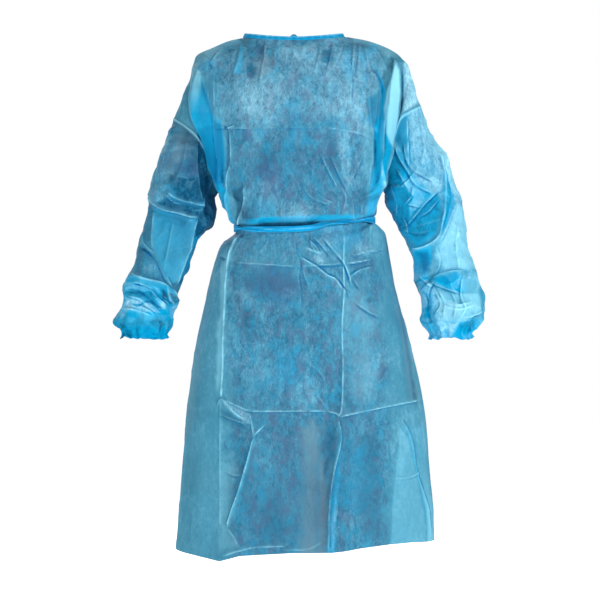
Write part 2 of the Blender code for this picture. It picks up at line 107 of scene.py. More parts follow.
# Where belt is True, z is measured from the middle of the belt.
TRUNK_COLUMNS = ("name", "belt", "z", "left", "right", "front", "back")
TRUNK = (
    ("hem", False, HEM_Z, 279, 302, 158, 148),
    ("calf", False, -1044, 270, 297, 155, 146),
    ("below_knee", False, -954, 263, 289, 153, 145),
    ("knee", False, -864, 254, 283, 151, 144),
    ("thigh", False, -774, 245, 268, 149, 144),
    ("thigh_high", False, -684, 232, 245, 147, 143),
    ("hip", False, -594, 212, 219, 143, 140),
    ("hip_high", False, -504, 190, 203, 134, 127),
    ("skirt_top", True, -30, 174, 189, 122, 108),
    ("belt_low", True, -12, 155, BELT_REACH, 112, 100),
    ("belt_line", True, 0, 155, BELT_REACH, 112, 100),
    ("belt_high", True, 12, 155, BELT_REACH, 112, 100),
    ("blouse", True, 24, 169, 168, 136, 114),
    ("bodice", True, 44, 177, 172, 138, 117),
    ("armpit", False, -351, 183, 186, 134, 116),
)
# Pairs of x and how much lower the hem hangs there in front.
HEM_DROP = ((-290, 4), (-235, 13), (-178, 24), (-133, 8), (-16, 1), (70, 2), (130, -5),
            (200, -10), (245, -9), (300, 0))
HEM_RISE, HEM_DROP_BEHIND = 18, 10      # how much higher it is at its right end, lower behind
SAG_FROM, SAG_RUN = -750, 400           # this fades in from that height down, over that length


def belt_line(x, front):
    """Height of the belt's middle: a line that tilts up to the right, less a dip in front."""
    return BELT_Z + BELT_TILT * x - BELT_DIP * np.clip(1 - (x / BELT_REACH) ** 2, 0, 1) * front


def trunk_row(level, u, facing):
    """Rounded outline: x = -reach cos(pi u)^(2/n), y = depth sin(pi u)^(2/n)."""
    row = dict(zip(TRUNK_COLUMNS, TRUNK[level]))
    angle = math.pi * u
    reach = np.where(u < 0.5, row["left"], row["right"])
    depth = row["front"] if facing < 0 else row["back"]
    x = -reach * power(np.cos(angle), 2 / ROUNDNESS)
    y = facing * depth * power(np.sin(angle), 2 / ROUNDNESS)
    if row["belt"]:
        return np.stack([x, y, row["z"] + belt_line(x, facing < 0)], axis=1)
    drop = np.interp(x, *zip(*HEM_DROP)) * (facing < 0) + HEM_DROP_BEHIND * (facing > 0)
    sag = np.clip((SAG_FROM - row["z"]) / SAG_RUN, 0, 1) ** 2
    rise = HEM_RISE * np.clip(x / row["right"], 0, 1) ** 2
    return np.stack([x, y, row["z"] + sag * (rise - drop * np.abs(np.sin(angle)) ** 0.5)], axis=1)


print("levels below the armpits:", [row[0] for row in TRUNK])

# %% [markdown]
# ## The yoke
# Above the armpits the outline is no longer a rounded one: it runs from the armhole over a pleat
# beside the arm to the flat of the chest, and ends on the shoulder seam and the neck's edge. So
# each level is a row of points at named stations.
# %% Levels above the armpits
# Places across a panel, from its side seam (0) to its middle (0.5).
STATIONS = (0, 0.07, 0.14, 0.20, 0.25, 0.30, 0.36, 0.43, 0.5)
NECK_STATION = 0.36     # where the shoulder seam meets the neck
NECK_SHIFT = -15        # how far the neck's middle lies to the left
# Columns: crease beside the arm, outer edge of the pleat, pleat, trough, side, chest, centre.
FRONT_YOKE = (
    ((185, -44, -351), (186, -68, -351), (174, -95, -351), (153, -94, -351),
     (122, -115, -351), (72, -129, -351), (0, -134, -351)),
    ((192, -52, -316), (198, -84, -308), (186, -109, -304), (164, -98, -302),
     (127, -119, -301), (76, -133, -301), (0, -139, -301)),
    ((203, -52, -262), (207, -90, -252), (192, -115, -247), (166, -97, -244),
     (130, -120, -242), (78, -134, -241), (0, -139, -240)),
    ((219, -49, -202), (214, -88, -190), (197, -112, -184), (174, -92, -180),
     (132, -114, -177), (78, -127, -176), (0, -131, -175)),
    ((234, -40, -146), (221, -72, -130), (203, -95, -121), (180, -76, -115),
     (134, -97, -111), (78, -111, -109), (0, -117, -108)),
    ((243, -22, -104), (231, -40, -84), (213, -54, -71), (187, -44, -61),
     (132, -60, -51), (76, -80, -50), (0, -92, -52)),
)
BACK_YOKE = (
    ((184, 44, -351), (180, 62, -351), (168, 80, -351), (150, 92, -351),
     (120, 105, -351), (70, 114, -351), (0, 116, -351)),
    ((192, 56, -314), (190, 76, -306), (176, 96, -303), (156, 103, -302),
     (124, 113, -301), (74, 121, -301), (0, 122, -301)),
    ((204, 62, -260), (200, 84, -250), (184, 105, -246), (164, 110, -243),
     (128, 119, -241), (76, 125, -240), (0, 124, -240)),
    ((221, 58, -200), (210, 82, -188), (192, 104, -182), (170, 108, -178),
     (130, 117, -176), (76, 123, -175), (0, 122, -174)),
    ((236, 48, -144), (220, 68, -128), (200, 88, -119), (177, 94, -113),
     (134, 105, -109), (76, 112, -107), (0, 112, -106)),
    ((243, 26, -102), (231, 38, -82), (212, 52, -69), (187, 58, -59),
     (132, 70, -50), (76, 86, -48), (0, 92, -48)),
)
# Heights up the cloth of the levels above the armpit.
YOKE_HEIGHTS = (-290, -235, -175, -115, -55, 0)
# The shoulder seam from the top of the arm to the neck.
SHOULDER = ((254, 0, -116), (245, 2, -92), (238, 3, -64), (216, 4, -38), (166, 3, -14),
            (114, 0, -3))
NECK_EDGE = {-1: (64, -14), 1: (70, -4)}    # reach and height of the neck's edge, front and back
ARMHOLES = {
    -1: ((183, 0, -351), (187, -44, -322), (203, -66, -276), (227, -68, -229),
         (252, -52, -205), (272, -26, -191), (283, 0, -184)),
    1: ((186, 0, -345), (189, -46, -312), (204, -68, -256), (221, -66, -190),
        (243, -50, -172), (261, -26, -162), (271, 0, -156)),
}


print("stations of a level:", len(STATIONS))

# %% Rows of the yoke
def armhole_points(side, facing, shares):
    """The armhole seam from the armpit (0) to the top of the arm (1)."""
    points = np.array(ARMHOLES[side], float) * (side, -facing, 1)
    return smooth(np.linspace(0, 1, len(points)), points, shares)


def yoke_row(level, u, facing):
    """One level of the yoke: a smooth curve through its stations, both halves."""
    table = FRONT_YOKE if facing < 0 else BACK_YOKE
    share, halves = level / len(table), []
    for side in (-1, 1):
        inner = np.array(table[level], float) * (side, 1, 1)
        hole = armhole_points(side, facing, [share])[0]
        higher = hole[2] - armhole_points(-side, facing, [share])[0][2]
        inner[:4, 2] += max(higher, 0) * np.array([1, 0.75, 0.45, 0.2])
        arm = (hole + inner[0]) / 2 + (side * 4 * share, facing * 5 * share, 0)
        halves.append(np.vstack([hole, arm, inner]))
    places = np.concatenate([STATIONS, 1 - np.array(STATIONS[-2::-1])])
    return smooth(places, np.vstack([halves[0], halves[1][-2::-1]]), u)


def top_row(u, facing):
    """The shoulder seams, and between them a quarter ellipse each side round the neck."""
    side = np.where(u < 0.5, -1, 1)
    half = np.minimum(u, 1 - u)
    lines = [np.vstack([ARMHOLES[way][-1], SHOULDER]).astype(float) for way in (-1, 1)]
    seams = [smooth(STATIONS[:7], line, np.minimum(half, NECK_STATION)) for line in lines]
    seam = np.where(side[:, None] < 0, seams[0], seams[1])
    turn = (half - NECK_STATION) / (0.5 - NECK_STATION) * math.pi / 2
    reach, base = NECK_EDGE[facing]
    neck = np.stack([SHOULDER[-1][0] * np.cos(turn), facing * reach * np.sin(turn),
                     base + (SHOULDER[-1][2] - base) * np.cos(turn) ** 2], axis=1)
    row = np.where(half[:, None] <= NECK_STATION, seam, neck)
    return row * np.stack([side, np.ones_like(side), np.ones_like(side)], axis=1)


print("levels of the yoke:", len(FRONT_YOKE) + 1)

# %% [markdown]
# ## Large folds of the panels
# A fold that is wider than a hand is part of the gown's form. Each is a soft ridge along a line,
# with its half width and how far it lifts: a bell curve across the line that fades at both ends.
# %% Large folds
# Columns: x0, z0, x1, z1, half width, lift.
FRONT_FOLDS = (
    (-176, -345, -150, -420, 15, 10), (-148, -330, -130, -410, 14, -9),
    (172, -340, 160, -410, 15, 9), (148, -320, 140, -400, 14, -8),
    (-98, -840, -140, -1180, 26, 13), (-150, -850, -190, -1150, 30, -8),
    (92, -880, 100, -1180, 24, 10), (45, -860, 50, -1180, 30, -8),
    (185, -700, 215, -1180, 36, 8), (-215, -640, -235, -1100, 30, 7),
    (60, -480, 118, -590, 30, -5),
)
BACK_FOLDS = (
    (-110, -560, -130, -1180, 36, 11), (-190, -620, -215, -1180, 32, -9),
    (40, -600, 52, -1180, 34, -9), (130, -560, 160, -1180, 36, 12),
    (215, -660, 245, -1180, 32, -8), (-60, -240, -90, -400, 26, 6),
    (90, -230, 110, -400, 26, 6),
)
# Pairs of height and how far the left side is drawn in there.
WAIST_PULL = ((-480, 0), (-445, 9), (-430, 11), (-412, 17), (-400, 18), (-390, 13), (-375, 4),
              (-360, 0))


def fold_lift(x, z, folds):
    """Sum over the folds of lift * exp(-(distance / width)^2), fading at both ends."""
    lift = np.zeros_like(x)
    for x0, z0, x1, z1, width, height in folds:
        length = math.hypot(x1 - x0, z1 - z0)
        along = ((x - x0) * (x1 - x0) + (z - z0) * (z1 - z0)) / length**2
        aside = ((x - x0) * (z1 - z0) - (z - z0) * (x1 - x0)) / length
        fade = np.sin(np.clip(along * 1.1, 0, 1) * math.pi / 2) * np.clip((1.1 - along) * 4, 0, 1)
        lift += height * fade * np.exp(-((aside / width) ** 2))
    return lift


print("large folds in front:", len(FRONT_FOLDS), "behind:", len(BACK_FOLDS))

# %% The whole front or back as one surface
# Heights here are measured up the cloth. The belt's levels are 12 mm lower in them than in the
# air, since the cloth above hangs over. LIP_UP is where the two sheets of the front meet, and
# NECK_UP is just below the neck.
BELT_UP, LIP_UP, NECK_UP = BELT_Z - 12, -437, -20
HEIGHTS = np.array([row[2] + (BELT_UP if row[1] else 0) for row in TRUNK]
                   + list(YOKE_HEIGHTS), float)


def trunk_surface(u, facing, height):
    """Grid of points over the front (facing -1) or the back (1): u from 0 to 1 across, height
    measured up the cloth, negative below the shoulders."""
    rows = [trunk_row(level, u, facing) for level in range(len(TRUNK) - 1)]
    rows += [yoke_row(level, u, facing) for level in range(len(FRONT_YOKE))]
    grid = smooth(HEIGHTS, np.array(rows + [top_row(u, facing)]), height)
    x, z = grid[..., 0], grid[..., 2]
    lift = fold_lift(x, z, FRONT_FOLDS if facing < 0 else BACK_FOLDS)
    lift *= np.clip((np.abs(z - belt_line(x, facing < 0)) - 14) / 12, 0, 1)
    face_on = np.abs(np.sin(math.pi * u)) ** 0.6
    grid[..., 1] += facing * lift * face_on
    grid[..., 0] += lift * 0.5 * np.sign(u - 0.5) * (1 - face_on)
    neck = np.exp(-((z / 60) ** 2)) * np.clip(1.3 - np.abs(x) / 150, 0, 1)
    grid[..., 0] += NECK_SHIFT * neck
    # The tied belt draws the left side in.
    grid[..., 0] += np.interp(z, *zip(*WAIST_PULL)) * soft_step((-x - 100) / 55)
    # The left pleat hangs out over the sleeve.
    if facing < 0:
        grid[..., 0] -= 25 * np.exp(-(((z + 165) / 60) ** 2) - ((u - 0.2) / 0.04) ** 2)
    # The left shoulder keeps a corner.
    grid[..., 0] -= 9 * np.exp(-(((z + 42) / 15) ** 2)) * soft_step((-x - 170) / 50)
    return grid


def even_places(facing, low, high, count):
    """Places across a panel, spaced so that its columns lie about equally far apart."""
    u = np.linspace(0, 1, 801)
    grid = trunk_surface(u, facing, np.linspace(low, high, 24))
    step = np.linalg.norm(np.diff(grid, axis=1), axis=2).mean(axis=0)
    length = np.concatenate([[0], np.cumsum(step)])
    return np.interp(np.linspace(0, length[-1], count), length, u)


def from_sides(places, reach):
    """0 at a panel's side seams, 1 where it is further in than reach."""
    return soft_step(np.minimum(places, 1 - places) / reach)


def outward(grid, inside=(0, 0)):
    """Unit vectors square to a surface, pointing away from a line x, y inside it."""
    normal = np.cross(np.gradient(grid, axis=1), np.gradient(grid, axis=0))
    normal /= np.maximum(np.linalg.norm(normal, axis=-1, keepdims=True), 1e-9)
    away = (normal[..., :2] * (grid[..., :2] - inside)).sum(axis=-1, keepdims=True)
    return normal * np.where(away < 0, -1, 1)


hem = trunk_surface(np.linspace(0, 1, 99), -1, [HEM_Z])
print("the hem is", round(np.ptp(hem[..., 0])), "mm wide")

# %% [markdown]
# ## Crumple
# Even between its creases the cloth is never flat. Once crushed, thin non-woven stays in small
# flat facets that meet at crisp edges. The lowest of many sloping planes, one round each of many
# scattered points, gives just that. Softer unevenness comes from random numbers on a lattice,
# and also keeps the edges of creases and tones from looking ruled.
# %% Facets and soft unevenness
LATTICE = 97        # random numbers each way, after which a pattern repeats


def uneven(x, z, size, seed):
    """Smooth random field from -1 to 1: random numbers on a lattice, joined by soft steps."""
    table = np.random.default_rng(seed).uniform(-1, 1, (LATTICE, LATTICE))
    i, k = np.floor(x / size).astype(int), np.floor(z / size).astype(int)
    a, b = soft_step(x / size - i), soft_step(z / size - k)
    corner = lambda p, q: table[(i + p) % LATTICE, (k + q) % LATTICE]
    return ((corner(0, 0) * (1 - a) + corner(1, 0) * a) * (1 - b)
            + (corner(0, 1) * (1 - a) + corner(1, 1) * a) * b)


def facets(x, z, size, seed):
    """Flat facets with crisp edges, as on pressed paper: each scattered point has a sloping
    plane, and the surface is the lowest of dist^2 + slope . offset over the nearest points.
    Gives that height, a painted shade from about -1 to 1 for each facet, taken mostly from the
    sideways slope of its plane, and 1 on the edges between facets."""
    draw = np.random.default_rng(seed)
    table = draw.uniform(0, 1, (LATTICE, LATTICE, 2))
    slopes = draw.uniform(-0.9, 0.9, (LATTICE, LATTICE, 3))
    x = x / size + 0.5 * uneven(x, z, size * 1.9, seed + 1)
    z = z / size + 0.5 * uneven(z, x, size * 1.9, seed + 2)
    i, k = np.floor(x).astype(int), np.floor(z).astype(int)
    low, second, tone = np.full(x.shape, 9.0), np.full(x.shape, 9.0), np.zeros(x.shape)
    for p in (-1, 0, 1):
        for q in (-1, 0, 1):
            here = ((i + p) % LATTICE, (k + q) % LATTICE)
            spot, slope = table[here], slopes[here]
            a, b = x - i - p - spot[..., 0], z - k - q - spot[..., 1]
            plane = (0.7 * (a * a + b * b) + slope[..., 0] * a + slope[..., 1] * b
                     + 0.25 * slope[..., 2])
            second = np.minimum(second, np.maximum(low, plane))
            tone = np.where(plane < low, slope[..., 0] + 0.3 * slope[..., 2], tone)
            low = np.minimum(low, plane)
    return low, tone, np.exp(-(((second - low) * size / 1.6) ** 2))


print("patterns repeat after", LATTICE, "steps")

# %% [markdown]
# ## Creases, one by one
# Cloth this stiff keeps two kinds of marks: sharp ridges where it was folded flat in its bag or
# is pulled by the belt, and round rolls where it stands loose. Sculpting them by hand would work
# too, but here each is one row of a table: points that it runs through in front view, its half
# width, how high it stands, which side is steeper, how pale the line along it is, partly the
# pressed fibres' own tone and partly a painted highlight, and how dark the painted shadow beside
# it is. All lengths are in millimetres.
# %% Reading a line
def line_reading(x, z, points, steps=5):
    """For each place: signed distance to a smooth curve through the points (positive on its
    right), and the share of its length at the nearest spot. The last value is its length."""
    points = np.array(points, float)
    if len(points) > 2:
        keys = run_lengths(points)
        at = np.interp(np.arange((len(points) - 1) * steps + 1) / steps, range(len(keys)), keys)
        points = smooth(keys, points, at)
    spans = np.diff(points, axis=0)
    lengths = np.linalg.norm(spans, axis=1)
    total, before = lengths.sum(), 0.0
    best, aside, along = np.full(x.shape, np.inf), np.zeros(x.shape), np.zeros(x.shape)
    for start, span, length in zip(points[:-1], spans, lengths):
        dx, dz = x - start[0], z - start[1]
        t = np.clip((dx * span[0] + dz * span[1]) / length**2, 0, 1)
        far = np.hypot(dx - t * span[0], dz - t * span[1])
        near = far < best
        best = np.where(near, far, best)
        aside = np.where(near, far * np.sign(dx * span[1] - dz * span[0] + 1e-9), aside)
        along = np.where(near, (before + t * length) / total, along)
        before += length
    return aside, along, total


print("a crease 10 mm off reads", line_reading(np.zeros(1), np.zeros(1), ((10, -5), (10, 5)))[0])

# %% Lift and marks of the creases
def leaning(lean):
    """How wide the steep and the wide side of a crease are, in its half widths."""
    return 1 - 0.65 * abs(lean), 1 + 1.1 * abs(lean)


def crease_marks(x, z, creases):
    """Sum of the creases' lift in millimetres, and of their paleness (darkness is negative).
    With v = 1 - |s|/w, a sharp crease is a tent, v^1.6, and a roll is the soft step of v. Lean
    makes one side of it steep and the other one wide, as where cloth is pushed over itself. The
    tone is a pale line on the crease, partly the pressed fibres' own tone and partly a painted
    highlight, a painted shadow line beside it on the steep side, exp(-(s/1.5)^2) and
    exp(-((s - 2.6)/1.8)^2), and fainter painted shade on the steep side and painted light on the
    wide side, fading over both sides."""
    lift, mark = np.zeros_like(x), np.zeros_like(x)
    patchy = np.clip(0.75 + 0.5 * uneven(x, z, 17, 201) + 0.25 * uneven(x, z, 6, 202), 0.1, 1.2)
    for _, width, height, lean, pale, dark, points in creases:
        sharp = lean is not None
        lean = lean or 0
        low, high = np.min(points, axis=0), np.max(points, axis=0)
        reach = width * 2.2 + 8
        near = ((x > low[0] - reach) & (x < high[0] + reach)
                & (z > low[1] - reach) & (z < high[1] + reach))
        s, along, total = line_reading(x[near], z[near], points)
        ends = soft_step(np.minimum(along, 1 - along) * total / min(16, total * 0.3) + 0.1)
        steep, wide = leaning(lean)
        half = width * np.where((s > 0) == (lean > 0), steep, wide)
        share = np.clip(1 - np.abs(s) / half, 0, 1)
        shape = share**1.6 if sharp else soft_step(share)
        lift[near] += height * shape * ends
        way = 1 if lean >= 0 else -1
        # Painted shade on the steep side and painted light on the wide side, as light would fall.
        side = np.where(s * way > 0, -0.3 * dark, 0.22 * pale) * np.exp(-2.4 * np.abs(s) / width)
        mark[near] += ends * patchy[near] * (pale * np.exp(-((s / 1.5) ** 2)) + side
                                             - dark * np.exp(-(((s - 2.6 * way) / 1.8) ** 2)))
    return lift, mark


def tell(where, creases, tints):
    """Prints how many creases and tones a piece has, and the name of its highest crease."""
    highest = max(creases, key=lambda crease: crease[2])[0]
    print(f"{where}: {len(creases)} creases, {highest} is the highest, and {len(tints)} tones")


print("with a lean of 0.6 the two sides of a crease are", leaning(0.6), "half widths")

# %% Soft tones
def inside_of(x, z, corners):
    """Distance inside a closed outline, negative outside it. A place is inside where a line
    going right from it crosses the outline an odd number of times."""
    far, within = np.full(x.shape, np.inf), np.zeros(x.shape, bool)
    for (x0, z0), (x1, z1) in zip(corners, corners[1:] + corners[:1]):
        dx, dz = x1 - x0, z1 - z0
        t = np.clip(((x - x0) * dx + (z - z0) * dz) / (dx * dx + dz * dz), 0, 1)
        far = np.minimum(far, np.hypot(x - x0 - t * dx, z - z0 - t * dz))
        crosses = ((z0 > z) != (z1 > z)) & (x < x0 + (z - z0) * dx / (dz + (dz == 0)))
        within ^= crosses
    return np.where(within, far, -far)


def tinted(x, z, tints, channels, waver=1):
    """Adds soft tones: channel += amount * soft_step over the edge of a band along points, faded
    at both ends, or, where the half width is 0, over the edge of the area inside them. An amount
    of two numbers changes from the first at its top to the second at its bottom. Waver makes
    edges uneven."""
    x, z = (x + waver * (5 * uneven(x, z, 24, 203) + 2 * uneven(x, z, 9, 205)),
            z + waver * 6 * uneven(z, x, 24, 204))
    for channel, half, soft, amount, points in tints:
        if half:
            s, along, total = line_reading(x, z, points)
            band = soft_step((half - np.abs(s)) / soft + 0.5)
            band *= soft_step(np.minimum(along, 1 - along) * total / min(40, total * 0.3))
        else:
            band = soft_step(inside_of(x, z, points) / soft + 0.5)
        first, last = amount if isinstance(amount, tuple) else (amount, amount)
        low, high = min(point[1] for point in points), max(point[1] for point in points)
        band = band * (last + (first - last) * soft_step((z - low) / max(high - low, 1)))
        channels[channel] = channels.get(channel, 0) + band
    return channels


def joined(tones, plain, places, reach):
    """Tones that fade into the plain ones towards both side seams, where the next sheet starts."""
    share = from_sides(places, reach)
    return {key: plain.get(key, 0) + (tones[key] - plain.get(key, 0)) * share for key in tones}


print("middle of a square:", inside_of(np.ones(1), np.ones(1), ((0, 0), (2, 0), (2, 2), (0, 2))))

# %% [markdown]
# ## From a grid to a mesh
# Every sheet below is a grid of points, so that one function can make them all. It also writes
# the measured length of cloth into a UV map, for patterns that follow the cloth, and stores the
# tones as attributes that the material reads.
# %% Sheets of cloth
def cloth_lengths(grid):
    """Flat coordinates of a grid: mean lengths of cloth along its rows and its columns."""
    across = np.linalg.norm(np.diff(grid, axis=1), axis=2).mean(axis=0)
    down = np.linalg.norm(np.diff(grid, axis=0), axis=2).mean(axis=1)
    a = np.concatenate([[0], np.cumsum(across)])
    b = np.concatenate([[0], np.cumsum(down)])
    return np.stack(np.meshgrid(a, b), axis=-1)


def sheet_mesh(name, grid, cloth, channels=None, closed=False, flip=False):
    """A mesh of four-sided faces over a grid in millimetres. closed joins the last column to
    the first, flip turns the faces the other way."""
    rows, cols = grid.shape[:2]
    corner = np.arange(rows * cols).reshape(rows, cols)
    wide = np.concatenate([grid, grid[:, :1]], axis=1) if closed else grid
    flat = cloth_lengths(wide).reshape(-1, 2)
    place = np.arange(rows * wide.shape[1]).reshape(rows, -1)
    if closed:
        corner = np.hstack([corner, corner[:, :1]])
    ring = lambda a: np.stack([a[:-1, :-1], a[:-1, 1:], a[1:, 1:], a[1:, :-1]], -1).reshape(-1, 4)
    faces, spots = ring(corner), ring(place)
    if flip:
        faces, spots = faces[:, ::-1], spots[:, ::-1]
    mesh = bpy.data.meshes.new(name)
    mesh.from_pydata((grid.reshape(-1, 3) * MM).tolist(), [], faces.tolist())
    mesh.shade_smooth()
    layer = mesh.uv_layers.new(name="cloth")
    layer.data.foreach_set("uv", (flat[spots.reshape(-1)] * MM).astype(np.float32).ravel())
    for key, values in (channels or {}).items():
        made = mesh.attributes.new(key, "FLOAT", "POINT")
        made.data.foreach_set("value", np.asarray(values, np.float32).ravel())
    mesh.materials.append(cloth)
    piece = bpy.data.objects.new(name, mesh)
    bpy.context.scene.collection.objects.link(piece)
    step = np.cross(grid[1:, :-1] - grid[:-1, :-1], grid[:-1, 1:] - grid[:-1, :-1])
    area = np.linalg.norm(step, axis=2).sum() * MM * MM
    print(f"{name}: {len(faces) * 2} triangles, {area:.3f} square metres")
    return piece


def declare(piece, node):
    """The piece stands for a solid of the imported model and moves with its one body."""
    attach(piece, "root")
    if node:
        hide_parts(node)
    return piece


print("one millimetre is", MM, "m in a mesh")

# %% [markdown]
# ## The cloth: spunbond polypropylene
# Spunbond is a mat of endless fibres, laid at random and pressed together at a grid of tiny
# points. It has no weave. Up close it is cloudy, because the mat is thicker in some spots than in
# others. Where it lies on something dark that shows through as steel blue. Where it hangs free it
# is pale and even, and where it is folded on itself the blue is full and bright. The attributes
# lying, bright, grey, pale and line, made with each sheet, say which is where.
# %% Colours and nodes
def srgb(code):
    """A hex colour as the linear numbers that a shader needs."""
    parts = np.array([int(code[i:i + 2], 16) for i in (1, 3, 5)]) / 255
    linear = np.where(parts <= 0.04045, parts / 12.92, ((parts + 0.055) / 1.055) ** 2.4)
    return (*linear.tolist(), 1.0)


def add(tree, kind, inputs=None, **settings):
    """Adds a node. inputs gives each socket a number, a colour, or another node's output."""
    made = tree.nodes.new(kind)
    for key, value in settings.items():
        setattr(made, key, value)
    for key, value in (inputs or {}).items():
        if isinstance(value, bpy.types.NodeSocket):
            tree.links.new(value, made.inputs[key])
        else:
            made.inputs[key].default_value = value
    return made


def settle(node, values):
    """Sets a node's sockets, by their names, to plain values."""
    for key, value in values.items():
        node.inputs[key].default_value = value


print("pale blue is", np.round(srgb("#8fd8f2"), 3))

# %% The material
def spunbond(name, lying, free, grey, clear, bright, roughness):
    """Spunbond cloth. lying and free are three colours each, from thin spots to thick ones;
    grey is what shows through thin spots, clear is the colour of thick ones that stand off, and
    bright is the colour of folded cloth. Sockets are given by number: of a texture 2 is the
    scale, 3 the detail, 4 the roughness and 8 the distortion, of a Map Range 1 to 4 are the two
    ends before and after, and of a colour mix 0 is the share and 6 and 7 are the colours."""
    cloth = bpy.data.materials.new(name)
    cloth.use_nodes = True
    tree = cloth.node_tree
    shader = tree.nodes["Principled BSDF"]
    place = add(tree, "ShaderNodeTexCoord")
    hung = add(tree, "ShaderNodeMapping", {0: place.outputs["Object"], 3: (1, 1, 0.55)})
    # Clouds of 60 mm, tufts of 13 mm and clumps of fibre of 5 mm. Real fibres are 0.02 mm thick,
    # too fine to show, so the clumps stand for them.
    cloud = add(tree, "ShaderNodeTexNoise", {0: hung.outputs[0], 2: 16, 3: 4, 4: 0.6})
    tuft = add(tree, "ShaderNodeTexNoise", {0: hung.outputs[0], 2: 80, 3: 7, 4: 0.7, 8: 0.35})
    fibre = add(tree, "ShaderNodeTexNoise", {0: hung.outputs[0], 2: 200, 3: 4, 4: 0.8, 8: 0.6})
    mat = add(tree, "ShaderNodeMath", {0: tuft.outputs[0], 1: fibre.outputs[0]}, operation="ADD")
    thick = add(tree, "ShaderNodeMath", {0: cloud.outputs[0], 1: 0.6, 2: mat.outputs[0]},
                operation="MULTIPLY_ADD")
    read = {key: add(tree, "ShaderNodeAttribute", attribute_name=key).outputs["Fac"]
            for key in ("lying", "bright", "grey", "pale", "line")}
    deep = add(tree, "ShaderNodeMapRange", {0: thick.outputs[0], 1: 1.08, 2: 1.52})
    even = add(tree, "ShaderNodeMapRange", {0: thick.outputs[0], 1: 1.0, 2: 1.6})
    ramps = []
    for level, colours in ((deep, lying), (even, free)):
        ramp = add(tree, "ShaderNodeValToRGB", {0: level.outputs[0]})
        ramp.color_ramp.elements.new(0.5)
        for stop, colour in zip(ramp.color_ramp.elements, colours):
            stop.color = srgb(colour)
        ramps.append(ramp.outputs[0])
    # Thin spots of another pattern, 20 mm across with ragged edges, let the grey through, and
    # thick ones between them are clear blue.
    thin = add(tree, "ShaderNodeTexNoise", {0: hung.outputs[0], 2: 50, 3: 8, 4: 0.76, 8: 0.5})
    through = add(tree, "ShaderNodeMapRange", {0: thin.outputs[0], 1: 0.5, 2: 0.62, 4: 0.72})
    stood = add(tree, "ShaderNodeMapRange", {0: thin.outputs[0], 1: 0.48, 2: 0.38, 4: 0.75})
    shown = add(tree, "ShaderNodeMix", {0: through.outputs[0], 6: ramps[0], 7: srgb(grey)},
                data_type="RGBA")
    shown = add(tree, "ShaderNodeMix", {0: stood.outputs[0], 6: shown.outputs[2],
                                        7: srgb(clear)}, data_type="RGBA")
    base = add(tree, "ShaderNodeMix", {0: read["lying"], 6: ramps[1], 7: shown.outputs[2]},
               data_type="RGBA")
    tone = add(tree, "ShaderNodeMix", {0: read["bright"], 6: base.outputs[2], 7: srgb(bright)},
               data_type="RGBA")
    # Pale cloth shows its mat more than dark cloth does.
    speck = add(tree, "ShaderNodeMapRange", {0: mat.outputs[0], 1: 0.8, 2: 1.2, 3: 0.35, 4: 1.55})
    read["pale"] = add(tree, "ShaderNodeMath", {0: read["pale"], 1: speck.outputs[0]},
                       operation="MULTIPLY").outputs[0]
    # Each of the other channels has a light colour above 0 and a dark one below it.
    # Much of pale and line is painted light: the highlights and shadows of creases, facets, folds
    # and hollows.
    for key, light, dark in (("grey", "#7f949c", "#4a5482"), ("pale", "#a6dff4", "#0b4c6e"),
                             ("line", "#98e1f6", "#075f92")):
        down = add(tree, "ShaderNodeMath", {0: read[key], 1: -1}, operation="MULTIPLY",
                   use_clamp=True)
        tone = add(tree, "ShaderNodeMix", {0: read[key], 6: tone.outputs[2], 7: srgb(light)},
                   data_type="RGBA")
        tone = add(tree, "ShaderNodeMix", {0: down.outputs[0], 6: tone.outputs[2],
                                           7: srgb(dark)}, data_type="RGBA")
    tree.links.new(tone.outputs[2], shader.inputs["Base Color"])
    # The pressed points are 2 mm apart on real cloth, drawn 4 mm apart so that they can show.
    grid = add(tree, "ShaderNodeMapping", {0: place.outputs["UV"], 2: (0, 0, math.pi / 4)})
    points = add(tree, "ShaderNodeTexVoronoi", {0: grid.outputs[0], 2: 250, 8: 0.0},
                 voronoi_dimensions="2D")
    dent = add(tree, "ShaderNodeMapRange", {0: points.outputs["Distance"], 1: 0.15, 2: 0.4})
    height = add(tree, "ShaderNodeMath", {0: dent.outputs[0], 1: 0.35, 2: mat.outputs[0]},
                 operation="MULTIPLY_ADD")
    bump = add(tree, "ShaderNodeBump", {0: 0.55, 1: 0.002, "Height": height.outputs[0]})
    tree.links.new(bump.outputs[0], shader.inputs["Normal"])
    settle(shader, {"Roughness": roughness, "Specular IOR Level": 0.04, "Sheen Weight": 0.02,
                    "Sheen Roughness": 0.4, "Sheen Tint": srgb("#8fd8f2")})
    return cloth


cloth = spunbond("spunbond_polypropylene_cloth", ("#29627f", "#3f7d9a", "#539ab6"),
                 ("#3a7f9b", "#488ca6", "#5fa2bb"), "#50698a", "#2b8bb2", "#009ece", 0.7)
trim = spunbond("spunbond_polypropylene_folded_trim", ("#0a86b6", "#1296c8", "#3aaed6"),
                ("#1094c8", "#1ea2d2", "#48bbe0"), "#2784ac", "#229bcc", "#0099d2", 0.66)
print("materials:", cloth.name, trim.name)

